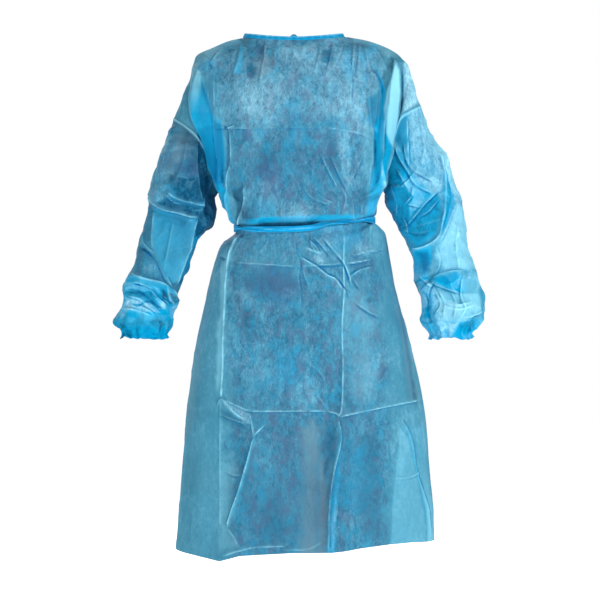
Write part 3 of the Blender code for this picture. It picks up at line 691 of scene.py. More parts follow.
# %% [markdown]
# ## The front above the belt
# On the real gown the front is one panel. Here it is made as two sheets that meet under the belt,
# so that each can be fine enough for its creases. The upper one has a loose pleat beside each arm,
# a crease across the chest from its packing, and a lip that hangs over the belt.
# %% Creases of the bodice
# Columns: name, half width, height, lean (None for a round roll), pale, dark, points (x, z).
BODICE_CREASES = (
    ("pack_crease", 12, 2, 0.6, 0.25, 0.55, ((-186, -212), (-150, -214), (-110, -216))),
    ("pack_crease_mid", 14, 1.4, 0.6, 0.05, 0.4, ((-110, -216), (-20, -214), (60, -215))),
    ("pack_crease_end", 14, 3, 0.6, 0.4, 0.25, ((60, -215), (102, -221), (139, -228), (157, -240))),
    ("bust_line_right", 12, 3, -0.6, 0.35, 0.2, ((157, -240), (158, -290), (152, -340))),
    ("pleat_left_outer", 13, 5, 0.75, 0.15, 0.45, ((-230, -83), (-240, -114), (-243, -149),
     (-236, -190), (-224, -220), (-214, -260), (-201, -298), (-187, -332), (-175, -362),
     (-168, -394))),
    ("pleat_left_inner", 15, 7, 0.75, 0.3, 0.45, ((-219, -87), (-214, -114), (-202, -152),
     (-192, -190), (-189, -220), (-187, -254), (-183, -295), (-181, -336))),
    ("flap_line", 10, 3, 0.6, 0.35, 0.1, ((-192, -97), (-189, -150), (-187, -198), (-188, -216))),
    ("chest_side_left", 12, 3, 0.6, 0.7, 0.5, ((-157, -203), (-153, -285), (-162, -318),
     (-171, -350))),
    ("packed_cross_1", 6, 2, 0.5, 0.5, 0.7, ((-170, -203), (-146, -220))),
    ("packed_cross_2", 6, 2, -0.5, 0.5, 0.7, ((-171, -219), (-144, -206))),
    ("chest_side_low", 12, 3, 0.6, 0.3, 0.2, ((-160, -296), (-168, -330), (-160, -380),
     (-144, -422))),
    ("lower_left_ridge", 14, 6, 0.6, 0.9, 0.5, ((-124, -340), (-121, -374), (-132, -400),
     (-143, -424))),
    ("pleat_right_fill", 22, 9, None, 0, 0, ((160, -80), (169, -130), (167, -180), (160, -240),
     (162, -300))),
    ("pleat_right_trough", 8, -2.5, 0.2, 0, 0.5, ((160, -70), (168, -88), (176, -110),
     (177, -130), (175, -156), (171, -190), (167, -213))),
    ("pleat_right_deep", 8, -4, 0.2, 0, 0.8, ((167, -213), (165, -240), (168, -302))),
    ("pleat_right_flap", 12, 5, -0.6, 0.2, 0.3, ((154, -140), (153, -180), (156, -212),
     (162, -250))),
    ("pleat_right_fold", 9, 5, -0.5, 0.6, 0.4, ((186, -196), (184, -250), (183, -350))),
    ("pleat_right_inner", 16, 3, None, 0, 0, ((196, -96), (198, -140), (196, -200), (194, -250),
     (186, -310))),
    ("pleat_right_outer", 14, 6, -0.75, 0.35, 0.5, ((210, -56), (219, -90), (220, -132),
     (216, -183), (212, -234), (203, -267), (189, -309), (179, -346), (159, -397))),
    ("gather_1", 11, 5, 0.6, 0.55, 0.45, ((121, -14), (118, -50), (113, -98))),
    ("gather_2", 10, 5, -0.6, 0.3, 0.6, ((98, -16), (88, -50), (70, -92))),
    ("gather_3", 10, 4, 0.6, 0.15, 0.6, ((133, -18), (130, -56), (126, -98))),
    ("gather_4", 11, 4, 0.6, 0.2, 0.5, ((76, -16), (66, -60), (56, -104))),
    ("gather_5", 12, 4, 0.6, 0.3, 0.25, ((-130, -16), (-136, -50), (-147, -92))),
    ("gather_6", 9, -3, 0.4, 0, 0.6, ((-88, -18), (-92, -40), (-98, -64))),
    ("gather_7", 11, 4, 0.5, 0.3, 0.4, ((-78, -18), (-80, -60), (-90, -110))),
    ("gather_8", 10, 3.4, 0.5, 0.2, 0.4, ((46, -20), (42, -50), (34, -84))),
    ("gather_9", 10, 3, -0.5, 0.2, 0.25, ((-52, -22), (-54, -60), (-48, -92))),
    ("gather_10", 11, 4, -0.5, 0.3, 0.4, ((110, -60), (114, -110), (112, -160))),
    ("gather_11", 10, 3, 0.5, 0.25, 0.35, ((144, -22), (150, -60), (158, -104))),
    ("gather_12", 10, 3, -0.5, 0.2, 0.3, ((-116, -18), (-120, -60), (-118, -100))),
    ("shoulder_left", 14, 4, 0.6, 0.25, 0.3, ((-172, -26), (-196, -60), (-206, -84))),
    ("shoulder_right", 14, 5, -0.6, 0.3, 0.3, ((160, -20), (178, -50), (196, -84))),
    ("cross_1", 9, 3.4, 0.6, 0.39, 0.63, ((44, -272), (60, -305), (82, -347))),
    ("cross_2", 9, 3.2, 0.6, 0.39, 0.7, ((66, -272), (82, -310), (104, -356))),
    ("cross_3", 11, 3, -0.6, 0.33, 0.49, ((139, -278), (125, -305), (112, -332))),
    ("cross_4", 9, 2.6, 0.6, 0.33, 0.49, ((7, -344), (22, -366), (44, -378), (68, -384))),
    ("cross_5", 9, 2.2, -0.6, 0.33, 0.35, ((30, -352), (58, -372), (78, -380))),
    ("cross_6", 10, 3, 0.6, 0.39, 0.35, ((88, -340), (100, -366), (96, -392))),
    ("cross_7", 12, 2.6, 0.5, 0.17, 0.35, ((112, -345), (132, -370), (136, -404))),
    ("cross_8", 9, 2.2, 0.5, 0.17, 0.49, ((14, -262), (24, -290), (28, -326))),
    ("cross_9", 9, 2.2, -0.5, 0.17, 0.42, ((-26, -300), (-6, -330), (4, -356))),
    ("side_left_low", 12, 4, 0.5, 0.3, 0.3, ((-166, -330), (-163, -370), (-148, -414))),
    ("lip_pull_left", 12, 3, 0.5, 0.15, 0.2, ((-100, -424), (-88, -398), (-84, -360))),
    ("lip_pull_middle", 12, 3, 0.5, 0.1, 0.2, ((-30, -420), (-34, -396), (-28, -366))),
    ("lip_pull_right", 12, 3, 0.5, 0.15, 0.2, ((128, -414), (118, -392), (118, -360))),
    ("breast_left", 30, 2.4, None, 0, 0, ((-110, -110), (-70, -160), (-60, -200))),
    ("breast_right", 34, 2.4, None, 0, 0, ((60, -130), (80, -180), (110, -205))),
)
print("creases of the bodice:", len(BODICE_CREASES))

# %% Tones of the bodice
# Columns: channel, half width (0 for an area), softness, amount, points.
# Painted light: a paler band along the tops of the shoulders, which the lamps light little.
SHOULDER_PAINTED_LIGHT = (
    ("line", 14, 20, 0.32, ((-232, -62), (-196, -28), (-150, -8), (-96, 4))),
    ("line", 14, 20, 0.32, ((96, 4), (150, -8), (196, -28), (232, -62))),
)
BODICE_TINTS = (
    ("grey", 0, 8, -0.4, ((-127, -222), (-104, -220), (-102, -246), (-122, -246))),
    ("grey", 16, 26, 0.3, ((-86, -40), (-78, -110))),
    ("grey", 22, 30, -0.25, ((-90, -280), (-60, -330), (-70, -380))),
    ("pale", 0, 70, 0.12, ((-190, -30), (190, -30), (150, -210), (-150, -210))),
    ("pale", 30, 50, 0.1, ((-150, -130), (-84, -166))),
    ("pale", 18, 30, 0.18, ((-60, -36), (0, -44), (50, -38))),
    ("pale", 26, 40, 0.14, ((100, -140), (110, -190))),
    ("pale", 0, 20, 0.2, ((82, -222), (112, -230), (116, -336), (98, -336), (80, -266))),
    ("pale", 0, 12, -0.3, ((60, -236), (76, -248), (98, -332), (84, -338), (62, -286))),
    ("pale", 45, 60, -0.1, ((-60, -250), (20, -300), (80, -260))),
    ("bright", 11, 18, 0.2, ((-22, -130), (-14, -190), (-20, -290))),
    ("bright", 0, 8, 0.6, ((-134, -16), (-128, -56), (-130, -92), (-148, -92), (-139, -50))),
    # Painted shadow in the trough of a gather.
    ("pale", 4, 8, -0.5, ((-89, -20), (-92, -48))),
    # Painted shadow beside a gather.
    ("pale", 13, 22, -0.36, ((60, -34), (64, -76))),
    ("bright", 0, 12, 0.5, ((100, -36), (116, -36), (114, -98), (98, -98))),
    ("bright", 8, 14, 0.4, ((136, -26), (142, -90))),
    # Painted shadow beside a gather.
    ("pale", 8, 16, -0.25, ((-108, -60), (-112, -110))),
    ("bright", 22, 30, 0.45, ((180, -44), (150, -22))),
    ("bright", 20, 26, 0.35, ((-206, -56), (-222, -90))),
    *SHOULDER_PAINTED_LIGHT,
    ("pale", 18, 24, -0.2, ((-60, -250), (-110, -330))),
    ("pale", 0, 8, -0.5, ((-146, -350), (-127, -346), (-127, -392), (-140, -398))),
    ("bright", 20, 26, 0.25, ((-120, -392), (-40, -400))),
    ("pale", 16, 26, 0.08, ((-80, -392), (20, -396), (110, -384))),
    ("pale", 10, 14, -0.3, ((136, -340), (142, -390))),
)
print("tones of the bodice:", len(BODICE_TINTS))

# %% Tones of the pleats beside the arms
PLEAT_LEFT = ((-229, -80), (-241, -114), (-246, -149), (-241, -190), (-229, -220), (-218, -260),
              (-205, -298), (-190, -332), (-179, -360), (-181, -336), (-184, -295), (-188, -254),
              (-190, -220), (-193, -190), (-203, -152), (-215, -114), (-220, -84))
PLEAT_RIGHT = ((211, -66), (220, -83), (222, -132), (218, -183), (214, -216), (206, -254),
               (201, -247), (190, -223), (187, -199), (187, -165), (192, -132), (203, -98))
PLEAT_SIDE_RIGHT = ((232, -66), (240, -50), (268, -110), (288, -164), (230, -190), (232, -120))
STRIP_RIGHT = ((166, -70), (178, -92), (190, -126), (188, -165), (192, -223), (187, -340),
               (166, -340), (164, -212), (176, -180), (181, -140), (178, -110))
SHADED_RECESS_RIGHT = ((150, -150), (172, -136), (172, -206), (158, -206))
LOOSE_RIGHT = ((160, -306), (192, -306), (184, -356), (164, -420), (146, -420))
PLEAT_TINTS = (
    ("lying", 0, 5, -1.2, PLEAT_LEFT),
    ("bright", 0, 5, (0.8, 1.1), PLEAT_LEFT),
    # Painted highlight: the pale outer strip of the left pleat, fading down it.
    ("line", 0, 6, (0.85, -0.05), ((-229, -80), (-240, -114), (-245, -149), (-238, -186),
     (-208, -186), (-214, -152), (-220, -114), (-222, -84))),
    ("line", 0, 12, -0.3, ((-224, -120), (-200, -116), (-190, -200), (-206, -214), (-230, -196))),
    ("pale", 0, 8, -0.25, ((-214, -100), (-188, -96), (-187, -216), (-191, -216), (-201, -152))),
    ("line", 0, 10, (-0.45, -0.8), ((-230, -216), (-190, -206), (-188, -254), (-184, -295),
     (-180, -350), (-194, -326), (-212, -276), (-224, -240))),
    ("lying", 0, 8, -0.8, ((-188, -190), (-174, -194), (-167, -240), (-165, -285), (-172, -351),
     (-179, -345), (-183, -295), (-187, -254))),
    ("bright", 0, 9, (0.7, 0.9), ((-188, -190), (-176, -194), (-168, -240), (-165, -285),
     (-172, -351), (-179, -345), (-183, -295), (-187, -254))),
    ("line", 0, 9, -0.55, ((-188, -200), (-174, -204), (-166, -290), (-174, -345), (-183, -332),
     (-184, -295), (-187, -254))),
    ("bright", 0, 10, 0.85, ((-182, -346), (-164, -348), (-154, -400), (-143, -430),
     (-156, -430), (-176, -392))),
    ("lying", 0, 5, -1.2, PLEAT_RIGHT),
    ("bright", 0, 5, 0.3, PLEAT_RIGHT),
    # Painted highlight on the face of the right pleat.
    ("line", 0, 5, (0.86, 0.5), PLEAT_RIGHT),
    # Painted shadow: a dark line along the right pleat's outer edge.
    ("pale", 3, 4, -0.9, ((225, -66), (228, -100), (227, -140), (222, -188))),
    ("pale", 0, 10, 0.65, PLEAT_SIDE_RIGHT),
    ("lying", 0, 6, -0.9, STRIP_RIGHT),
    ("bright", 0, 6, 1, STRIP_RIGHT),
    ("line", 0, 8, 0.06, ((180, -110), (190, -126), (188, -165), (191, -223), (188, -300),
     (178, -300), (176, -200), (183, -150))),
    # Painted shadow: a thin dark line in the trough beside the right pleat.
    ("line", 2, 4, -0.9, ((162, -66), (174, -94), (182, -122), (179, -156), (172, -200))),
    # Painted shade: the recess beside the right pleat is darker and bluer.
    ("pale", 0, 18, -0.5, SHADED_RECESS_RIGHT),
    ("bright", 0, 18, 0.35, SHADED_RECESS_RIGHT),
    # Painted shadow: a dark line down the deep trough below it.
    ("pale", 3, 5, -0.75, ((166, -216), (168, -306))),
    ("bright", 0, 6, 1, ((189, -222), (202, -247), (206, -254), (204, -267), (190, -312),
     (186, -300))),
    ("pale", 0, 8, -0.3, ((190, -226), (203, -250), (203, -267), (190, -309), (187, -298))),
    ("lying", 0, 14, -0.8, LOOSE_RIGHT),
    ("bright", 0, 14, 0.85, LOOSE_RIGHT),
    # Painted highlight: a bright line along the lip's lower edge.
    ("bright", 6, 6, 0.8, ((-140, -424), (-60, -416), (40, -414), (160, -408))),
)
tell("bodice", BODICE_CREASES, BODICE_TINTS + PLEAT_TINTS)

# %% Where the cloth lies on the body
def lying_on_body(x, z, left, right, soft=26):
    """1 where the cloth lies on the body, 0 where it hangs free: between two lines, with an
    uneven edge."""
    rough = 16 * uneven(x, z, 38, 91) + 9 * uneven(x, z, 15, 92)
    a = np.interp(-z, *zip(*left))
    b = np.interp(-z, *zip(*right))
    return soft_step((x - a + rough) / soft) * soft_step((b - x + rough) / soft)


print("at the body's middle:", lying_on_body(np.zeros(1), np.zeros(1), ((0, -99),), ((0, 99),)))

# %% Shape of the bodice
BODICE_ROWS, BODICE_COLUMNS = 219, 270
LIP_Z, LIP_HALF, LIP_SINK, LIP_DRAW = -411, 13, 11, 4       # the lip over the belt
heights = np.linspace(LIP_UP, 0, BODICE_ROWS)
places = even_places(-1, LIP_UP, NECK_UP, BODICE_COLUMNS)
bodice = trunk_surface(places, -1, heights)
x, z = bodice[..., 0], bodice[..., 2]
lift, line = crease_marks(x, z, BODICE_CREASES)
seams = from_sides(places, 0.02) * soft_step(-heights / 22)[:, None]
waist = soft_step((z - belt_line(x, True) - 6) / 20)
facet, shade, _ = facets(x, z * 0.7, 40, 11)
lift += (3.4 * facet + 1.3 * facets(x, z * 0.7, 19, 13)[0]
         + 2.4 * uneven(x, z, 85, 5) + 0.6 * uneven(x, z * 0.5, 11, 6)) * waist
bodice += outward(bodice) * (lift * seams)[..., None]
# The lip sinks over the belt at both sides and leaves a gap above it in the middle.
open_middle = soft_step((x + 108) / 30) * soft_step((62 - x) / 34)
lip = np.exp(-(((heights - LIP_Z) / LIP_HALF) ** 2))[:, None]
bodice[..., 2] -= lip * (LIP_SINK - LIP_SINK * open_middle + 2.5 * uneven(x, z, 30, 8))
bodice[..., 1] -= lip * (LIP_DRAW + 2 * uneven(x, z, 26, 9))
# Pairs of depth below the shoulders and x, at the left and the right limit of the body.
touching = lying_on_body(x, z, ((0, -240), (60, -236), (120, -196), (200, -180), (430, -150)),
                         ((0, 226), (70, 200), (110, 176), (250, 160), (430, 152)))
tones = {"lying": touching, "bright": 0.0 * x,
         "pale": 0.12 * uneven(x, z, 70, 12) + 0.05 * shade, "line": line * seams}
plain = dict(tones)
tones = tinted(x, z, PLEAT_TINTS, tinted(x, z, BODICE_TINTS, tones), 0.15)
tones = joined(tones, plain, places, 0.025)
# Painted shade: where the lip leaves the gap, the cloth under it is darker.
tones["pale"] = tones["pale"] - 1.2 * soft_step((-418 - heights) / 8)[:, None] * open_middle
front_top = declare(sheet_mesh("front_bodice", bodice, cloth, tones), "front")

# %% [markdown]
# ## The front below the belt
# The skirt hangs free at its sides and lies on the body in between. Two upright ridges, a crease
# across the hip and one across the knee are where it was folded into its bag, and the pull of the
# belt spreads a fan of small creases from one spot on the hip.
# %% Creases of the skirt
# The columns are the bodice's.
SIDE_LINE_RIGHT = ((225, -856), (246, -900), (262, -982), (284, -1062), (290, -1120))
SKIRT_CREASES = (
    ("ridge_left", 7, 2.6, -0.2, 0.95, 0.1, ((-132, -446), (-144, -466), (-160, -508),
     (-167, -603), (-171, -740), (-174, -813))),
    ("ridge_left_low", 10, 2, 0.3, 0.3, 0.1, ((-174, -813), (-178, -948), (-175, -1100))),
    ("ridge_right", 8, 3, 0.25, 0.68, 0.2, ((97, -446), (95, -512), (96, -580), (92, -660),
     (94, -740), (91, -835), (84, -853))),
    ("ridge_right_low", 18, 10, -0.55, 0.55, 0.45, ((84, -853), (91, -899), (77, -974),
     (68, -1060), (66, -1150))),
    ("hip_crease_left", 11, 2.6, 0.5, 0.4, 0.3, ((-144, -512), (-80, -516), (-11, -521))),
    ("hip_crease_right", 11, 2.2, 0.5, 0.3, 0.25, ((-11, -521), (50, -518), (93, -512))),
    ("side_nick", 8, -3, 0, 0.2, 0.6, ((-179, -495), (-164, -503))),
    ("fan_1", 7, 3.6, 0.5, 0.9, 1.1, ((47, -453), (72, -484), (95, -512), (108, -542),
     (112, -561))),
    ("fan_2", 6, 2.6, 0.5, 0.5, 1, ((30, -456), (50, -478), (66, -497), (77, -508))),
    ("fan_3", 8, 3, None, 0.9, 0, ((12, -478), (33, -488), (50, -493))),
    ("fan_4", 7, 3.6, -0.5, 1, 1.1, ((0, -497), (17, -508), (39, -522), (61, -539), (77, -547),
     (88, -561), (105, -583))),
    ("fan_5", 6, 2.4, 0.5, 0.5, 1.1, ((36, -517), (64, -518), (97, -515))),
    ("fan_6", 7, 3, 0.5, 0.7, 0.8, ((100, -515), (122, -512), (144, -508), (158, -504))),
    ("fan_7", 6, 3, -0.5, 0.8, 0.9, ((108, -544), (122, -533), (138, -525), (166, -519))),
    ("fan_8", 6, 3, 0.5, 0.8, 1, ((108, -492), (122, -496), (144, -489), (188, -482))),
    ("fan_9", 6, 2.2, 0.5, 0.4, 0.9, ((86, -544), (97, -566), (110, -588))),
    ("fan_10", 6, 2, 0.5, 0.3, 0.8, ((115, -547), (133, -572))),
    ("fan_11", 6, 2, -0.5, 0.4, 0.8, ((20, -462), (34, -474), (44, -490))),
    ("side_dent", 7, 2.8, 0.5, 0.6, 1, ((123, -602), (138, -613), (155, -624), (177, -634))),
    ("middle_upright", 7, 2.6, -0.4, 0.3, 0.9, ((-12, -458), (-7, -494), (0, -514), (-3, -542),
     (1, -575), (3, -611))),
    ("middle_slant", 7, 2.4, 0.4, 0.33, 0.7, ((4, -510), (10, -542), (22, -569))),
    ("thigh_slant_1", 8, 2.6, 0.5, 0.39, 0.63, ((13, -731), (44, -755), (57, -782))),
    ("thigh_slant_2", 8, 2.2, 0.5, 0.33, 0.42, ((29, -786), (42, -812), (57, -830))),
    ("knee_crease_left", 13, 3.6, 0.6, 0.7, 0.45, ((-172, -813), (-140, -828), (-111, -839),
     (-11, -839), (57, -839))),
    ("knee_crease_middle", 12, 3.4, 0.6, 0.7, 0.4, ((57, -839), (80, -845), (88, -852))),
    ("knee_crease_right", 13, 3.6, 0.6, 0.65, 0.45, ((88, -852), (139, -841), (206, -828),
     (268, -818))),
    ("triangle_left", 9, 3.2, -0.4, 0.6, 0.3, ((-183, -830), (-172, -813), (-142, -844),
     (-113, -862))),
    ("triangle_right", 8, 2.8, 0.5, 0.55, 0.3, ((-111, -839), (-108, -860), (-102, -895))),
    ("triangle_low", 8, 2.4, 0.4, 0.4, 0.4, ((-180, -846), (-150, -858), (-113, -870))),
    ("shin_fork", 8, 2.6, -0.5, 0.6, 0.35, ((-74, -866), (-88, -880), (-102, -895))),
    ("shin_ridge", 15, 7, 0.5, 0.8, 0.6, ((-102, -895), (-118, -960), (-138, -1030),
     (-159, -1096))),
    ("shin_toe", 9, 3, -0.3, 0.5, 0.2, ((-159, -1096), (-146, -1112), (-134, -1136))),
    ("shin_dent", 7, 2.4, 0.5, 0.3, 0.4, ((-168, -972), (-142, -982), (-124, -978))),
    ("side_line_right", 10, 3, -0.4, 0.25, 0.5, SIDE_LINE_RIGHT),
    ("side_cross", 8, 2, 0, 0.35, 0.15, ((205, -990), (250, -986), (276, -968))),
    ("hem_roll_left", 9, 3, 0.3, 0.5, 0.1, ((-172, -1160), (-110, -1140), (-30, -1136))),
    ("hem_roll_mid", 7, 2, 0.3, 0.4, 0.1, ((-40, -1144), (20, -1142), (52, -1126))),
    ("belt_pull_1", 8, 3, 0.4, 0.5, 0.3, ((-132, -448), (-150, -470), (-160, -506))),
    ("belt_pull_2", 7, 2.4, -0.4, 0.3, 0.3, ((-120, -450), (-136, -470), (-146, -492))),
    ("belt_pull_3", 7, 2.2, 0.4, 0.3, 0.3, ((-70, -454), (-78, -474), (-92, -490))),
    ("belt_pull_4", 7, 2.2, 0.4, 0.2, 0.3, ((26, -448), (24, -470), (40, -500))),
    ("belt_pull_5", 10, 3, None, 0.3, 0, ((150, -436), (152, -462), (160, -490))),
    ("shin_hollow", 22, -4, None, 0, 0.1, ((40, -870), (44, -1000), (40, -1150))),
)
print("creases of the skirt:", len(SKIRT_CREASES))

# %% Tones of the skirt
SKIRT_TINTS = (
    ("grey", 18, 30, 0.4, ((24, -850), (26, -1000), (16, -1190))),
    ("grey", 7, 14, 0.4, ((54, -930), (50, -1060), (44, -1190))),
    ("grey", 12, 24, 0.26, ((-200, -500), (-224, -640), (-244, -800), (-262, -920))),
    ("grey", 8, 14, 0.26, ((203, -500), (232, -660), (258, -840))),
    ("grey", 34, 40, -0.3, ((-120, -540), (-60, -556), (0, -600))),
    ("pale", 0, 60, -0.12, ((-180, -850), (200, -850), (200, -1160), (-180, -1160))),
    ("line", 0, 18, 0.14, ((-176, -960), (-136, -960), (-160, -1096), (-140, -1140),
     (-178, -1150))),
    ("lying", 32, 26, -0.3, ((-140, -480), (0, -484), (150, -478))),
    ("line", 6, 9, 0.28, ((-150, -470), (-168, -520), (-175, -640), (-181, -806))),
    ("bright", 18, 22, 0.3, ((60, -470), (150, -452))),
    ("pale", 0, 10, -0.18, ((-150, -514), (-14, -522), (-14, -560), (-60, -574), (-148, -566))),
    ("lying", 20, 26, -0.45, ((26, -840), (26, -980), (14, -1190))),
    ("line", 26, 40, 0.12, ((120, -540), (130, -700), (140, -840))),
    ("pale", 22, 30, -0.14, ((22, -880), (22, -1000), (16, -1190))),
    ("pale", 5, 9, -0.4, ((64, -860), (64, -920), (56, -1000))),
    ("pale", 12, 22, -0.12, ((50, -960), (52, -1060), (44, -1190))),
    ("pale", 8, 14, -0.25, ((210, -600), (232, -700), (256, -850))),
    ("pale", 14, 22, 0.2, ((120, -470), (160, -490))),
    ("pale", 8, 12, -0.2, ((104, -522), (156, -514))),
    ("pale", 8, 12, 0.25, ((22, -498), (60, -508))),
    ("pale", 7, 9, -0.6, ((154, -586), (162, -597))),
    ("pale", 14, 10, -0.22, ((-172, -840), (-150, -858))),
    ("pale", 22, 30, -0.16, ((-130, -540), (-90, -560), (-60, -620))),
    ("pale", 22, 24, -0.2, ((-100, -600), (-120, -700))),
    ("line", 20, 30, 0.08, ((150, -820), (160, -680), (150, -570))),
    ("bright", 26, 40, 0.25, ((-20, -680), (-40, -800))),
    ("pale", 18, 22, -0.22, ((150, -870), (156, -1000), (150, -1140))),
    ("bright", 26, 40, 0.2, ((130, -900), (120, -1080))),
    ("pale", 22, 30, -0.14, ((-60, -1000), (-60, -1140))),
)
HANGING_RIGHT = ((222, -870), (320, -880), (320, -1160), (196, -1160), (200, -1050))
FOLD_TINTS = (
    # Painted shade: of two facets by the knee crease, the upper one is paler and the lower one
    # darker.
    ("pale", 0, 4, 0.4, ((-172, -814), (-110, -845), (-108, -870), (-127, -861), (-163, -833))),
    ("pale", 0, 5, -0.3, ((-176, -832), (-130, -862), (-112, -884), (-150, -866), (-176, -850))),
    ("bright", 0, 6, (0.3, 0.4), ((84, -862), (92, -899), (88, -974), (82, -1060), (78, -1155),
     (60, -1155), (66, -1060), (76, -974), (86, -899))),
    ("pale", 0, 8, (0.1, 0.25), ((88, -880), (90, -974), (82, -1060), (76, -1155), (66, -1155),
     (72, -1060), (82, -974))),
    ("pale", 3, 7, -0.4, ((77, -870), (72, -974), (60, -1030))),
    ("bright", 1.7, 2.4, 0.8, ((-104, -905), (-118, -960), (-138, -1030), (-155, -1086))),
    ("pale", 5, 8, -0.3, ((-96, -900), (-110, -960), (-130, -1030))),
    ("bright", 1.5, 2.4, 0.6, SIDE_LINE_RIGHT),
    ("lying", 0, 8, -0.9, HANGING_RIGHT),
    ("bright", 0, 8, 0.14, HANGING_RIGHT),
    ("line", 0, 6, 0.16, ((222, -880), (240, -900), (262, -1000), (280, -1100), (278, -1160),
     (200, -1160), (204, -1050))),
    ("line", 0, 7, (0.05, 0.4), ((240, -880), (320, -880), (320, -1160), (284, -1160),
     (284, -1080), (262, -982), (246, -900))),
    ("lying", 0, 7, -0.8, ((-179, -842), (-300, -836), (-310, -1170), (-177, -1170))),
    ("pale", 0, 7, -0.12, ((-181, -842), (-300, -836), (-310, -1170), (-179, -1170))),
    ("pale", 4, 6, -0.35, ((192, -450), (214, -560), (238, -690), (262, -850))),
)
tell("skirt", SKIRT_CREASES, SKIRT_TINTS + FOLD_TINTS)

# %% Shape of the skirt
SKIRT_ROWS, SKIRT_COLUMNS = 306, 312
heights = np.linspace(HEM_Z, LIP_UP, SKIRT_ROWS)
places = even_places(-1, HEM_Z, LIP_UP, SKIRT_COLUMNS)
skirt = trunk_surface(places, -1, heights)
x, z = skirt[..., 0], skirt[..., 2]
lift, line = crease_marks(x, z, SKIRT_CREASES)
under_belt = belt_line(x, True) - z
gathers = (np.exp(-under_belt / 34) * np.sin(x / 2.7 + 3.2 * uneven(x, z, 24, 31))
           * (0.6 + 0.5 * uneven(x, z, 30, 32)))
edge = from_sides(places, 0.02)
facet, shade, _ = facets(x, z * 0.6, 50, 21)
crumpled = (3.6 * facet + 1.3 * facets(x, z * 0.7, 22, 25)[0]
            + 3.2 * uneven(x, z, 120, 22) + 0.5 * uneven(x, z * 0.5, 12, 23))
gathers *= soft_step((under_belt + 4) / 8)
lift += crumpled * soft_step((under_belt - 6) / 30) + 2.4 * gathers
skirt += outward(skirt) * (lift * edge * soft_step((under_belt + 4) / 12))[..., None]
# A flounce of cloth stands up beside the belt on the right.
flounce = soft_step((x - 128) / 34) * np.exp(-(((z + 447) / 16) ** 2))
slope = 1 - 0.85 * soft_step((x - 160) / 28)
skirt += np.stack([6 * flounce * slope, -5 * flounce,
                   20 * flounce * slope * soft_step((z + 470) / 20)], axis=-1)
touching = lying_on_body(x, z, ((440, -150), (540, -172), (800, -172), (1180, -150)),
                         ((440, 160), (560, 190), (800, 205), (1180, 215)))
tones = {"lying": touching, "bright": 0.35 * np.exp(-under_belt / 16),
         "pale": 0.12 * uneven(x, z, 90, 24) + 0.04 * shade, "line": line * edge}
plain = dict(tones)
tones = tinted(x, z, FOLD_TINTS, tinted(x, z, SKIRT_TINTS, tones), 0.25)
tones = joined(tones, plain, places, 0.1)
front_low = declare(sheet_mesh("front_skirt", skirt, cloth, tones), "front")

# %% [markdown]
# ## The two back panels
# The gown is put on from the front and closes behind, where the right panel laps over the left
# one. Each panel is one sheet from shoulder to hem. The same packing creases run round it, and
# below the belt it hangs in long soft folds.
# %% Creases and tones of the back
BACK_CREASES = (
    ("pack_left", 13, 3, 0.3, 0.5, 0.2, ((-120, -150), (-118, -320), (-112, -420))),
    ("pack_right", 13, 3, -0.3, 0.5, 0.2, ((122, -140), (120, -320), (116, -420))),
    ("pack_left_low", 14, 4, 0.3, 0.6, 0.2, ((-118, -450), (-122, -700), (-130, -1150))),
    ("pack_right_low", 14, 4, -0.3, 0.6, 0.2, ((116, -450), (122, -700), (134, -1150))),
    ("pack_across_top", 12, 2, 0.6, 0.35, 0.35, ((-190, -222), (0, -216), (190, -222))),
    ("pack_across_hip", 12, 2.6, 0.6, 0.4, 0.35, ((-180, -516), (10, -522), (200, -512))),
    ("pack_across_knee", 13, 3.4, 0.6, 0.6, 0.4, ((-250, -830), (-60, -842), (80, -836),
     (270, -822))),
    ("yoke_left", 12, 4, 0.4, 0.4, 0.3, ((-70, -40), (-96, -110), (-104, -190))),
    ("yoke_right", 12, 4, -0.4, 0.4, 0.3, ((62, -40), (88, -100), (100, -180))),
    ("yoke_left_2", 10, 3, 0.4, 0.25, 0.3, ((-40, -40), (-58, -120), (-60, -180))),
    ("yoke_right_2", 10, 3, -0.4, 0.25, 0.3, ((36, -40), (50, -110), (52, -190))),
    ("arm_left", 16, 5, None, 0.3, 0, ((-190, -120), (-184, -230), (-166, -330))),
    ("arm_right", 16, 5, None, 0.3, 0, ((192, -110), (186, -220), (168, -320))),
    ("pull_left_1", 9, 3, 0.5, 0.3, 0.4, ((-20, -410), (-70, -360), (-130, -330))),
    ("pull_left_2", 9, 3, 0.5, 0.3, 0.4, ((-22, -418), (-80, -392), (-150, -384))),
    ("pull_right_1", 9, 3, -0.5, 0.3, 0.4, ((20, -410), (66, -364), (120, -336))),
    ("pull_right_2", 9, 3, -0.5, 0.3, 0.4, ((24, -418), (84, -390), (148, -380))),
    ("drop_left_1", 9, 3.4, 0.5, 0.35, 0.4, ((-26, -446), (-60, -510), (-78, -600))),
    ("drop_left_2", 9, 3, 0.5, 0.3, 0.4, ((-70, -446), (-96, -500), (-104, -560))),
    ("drop_right_1", 9, 3.4, -0.5, 0.35, 0.4, ((30, -444), (64, -510), (84, -610))),
    ("drop_right_2", 9, 3, -0.5, 0.3, 0.4, ((74, -442), (104, -500), (112, -570))),
    ("seat_left", 8, 2.6, 0.4, 0.3, 0.3, ((-150, -640), (-110, -690), (-60, -700))),
    ("seat_right", 8, 2.6, 0.4, 0.3, 0.3, ((160, -620), (120, -670), (80, -690))),
    ("calf_left", 14, 6, 0.5, 0.6, 0.4, ((-70, -870), (-92, -980), (-120, -1120))),
    ("calf_right", 14, 6, -0.5, 0.6, 0.4, ((90, -880), (112, -990), (130, -1130))),
)
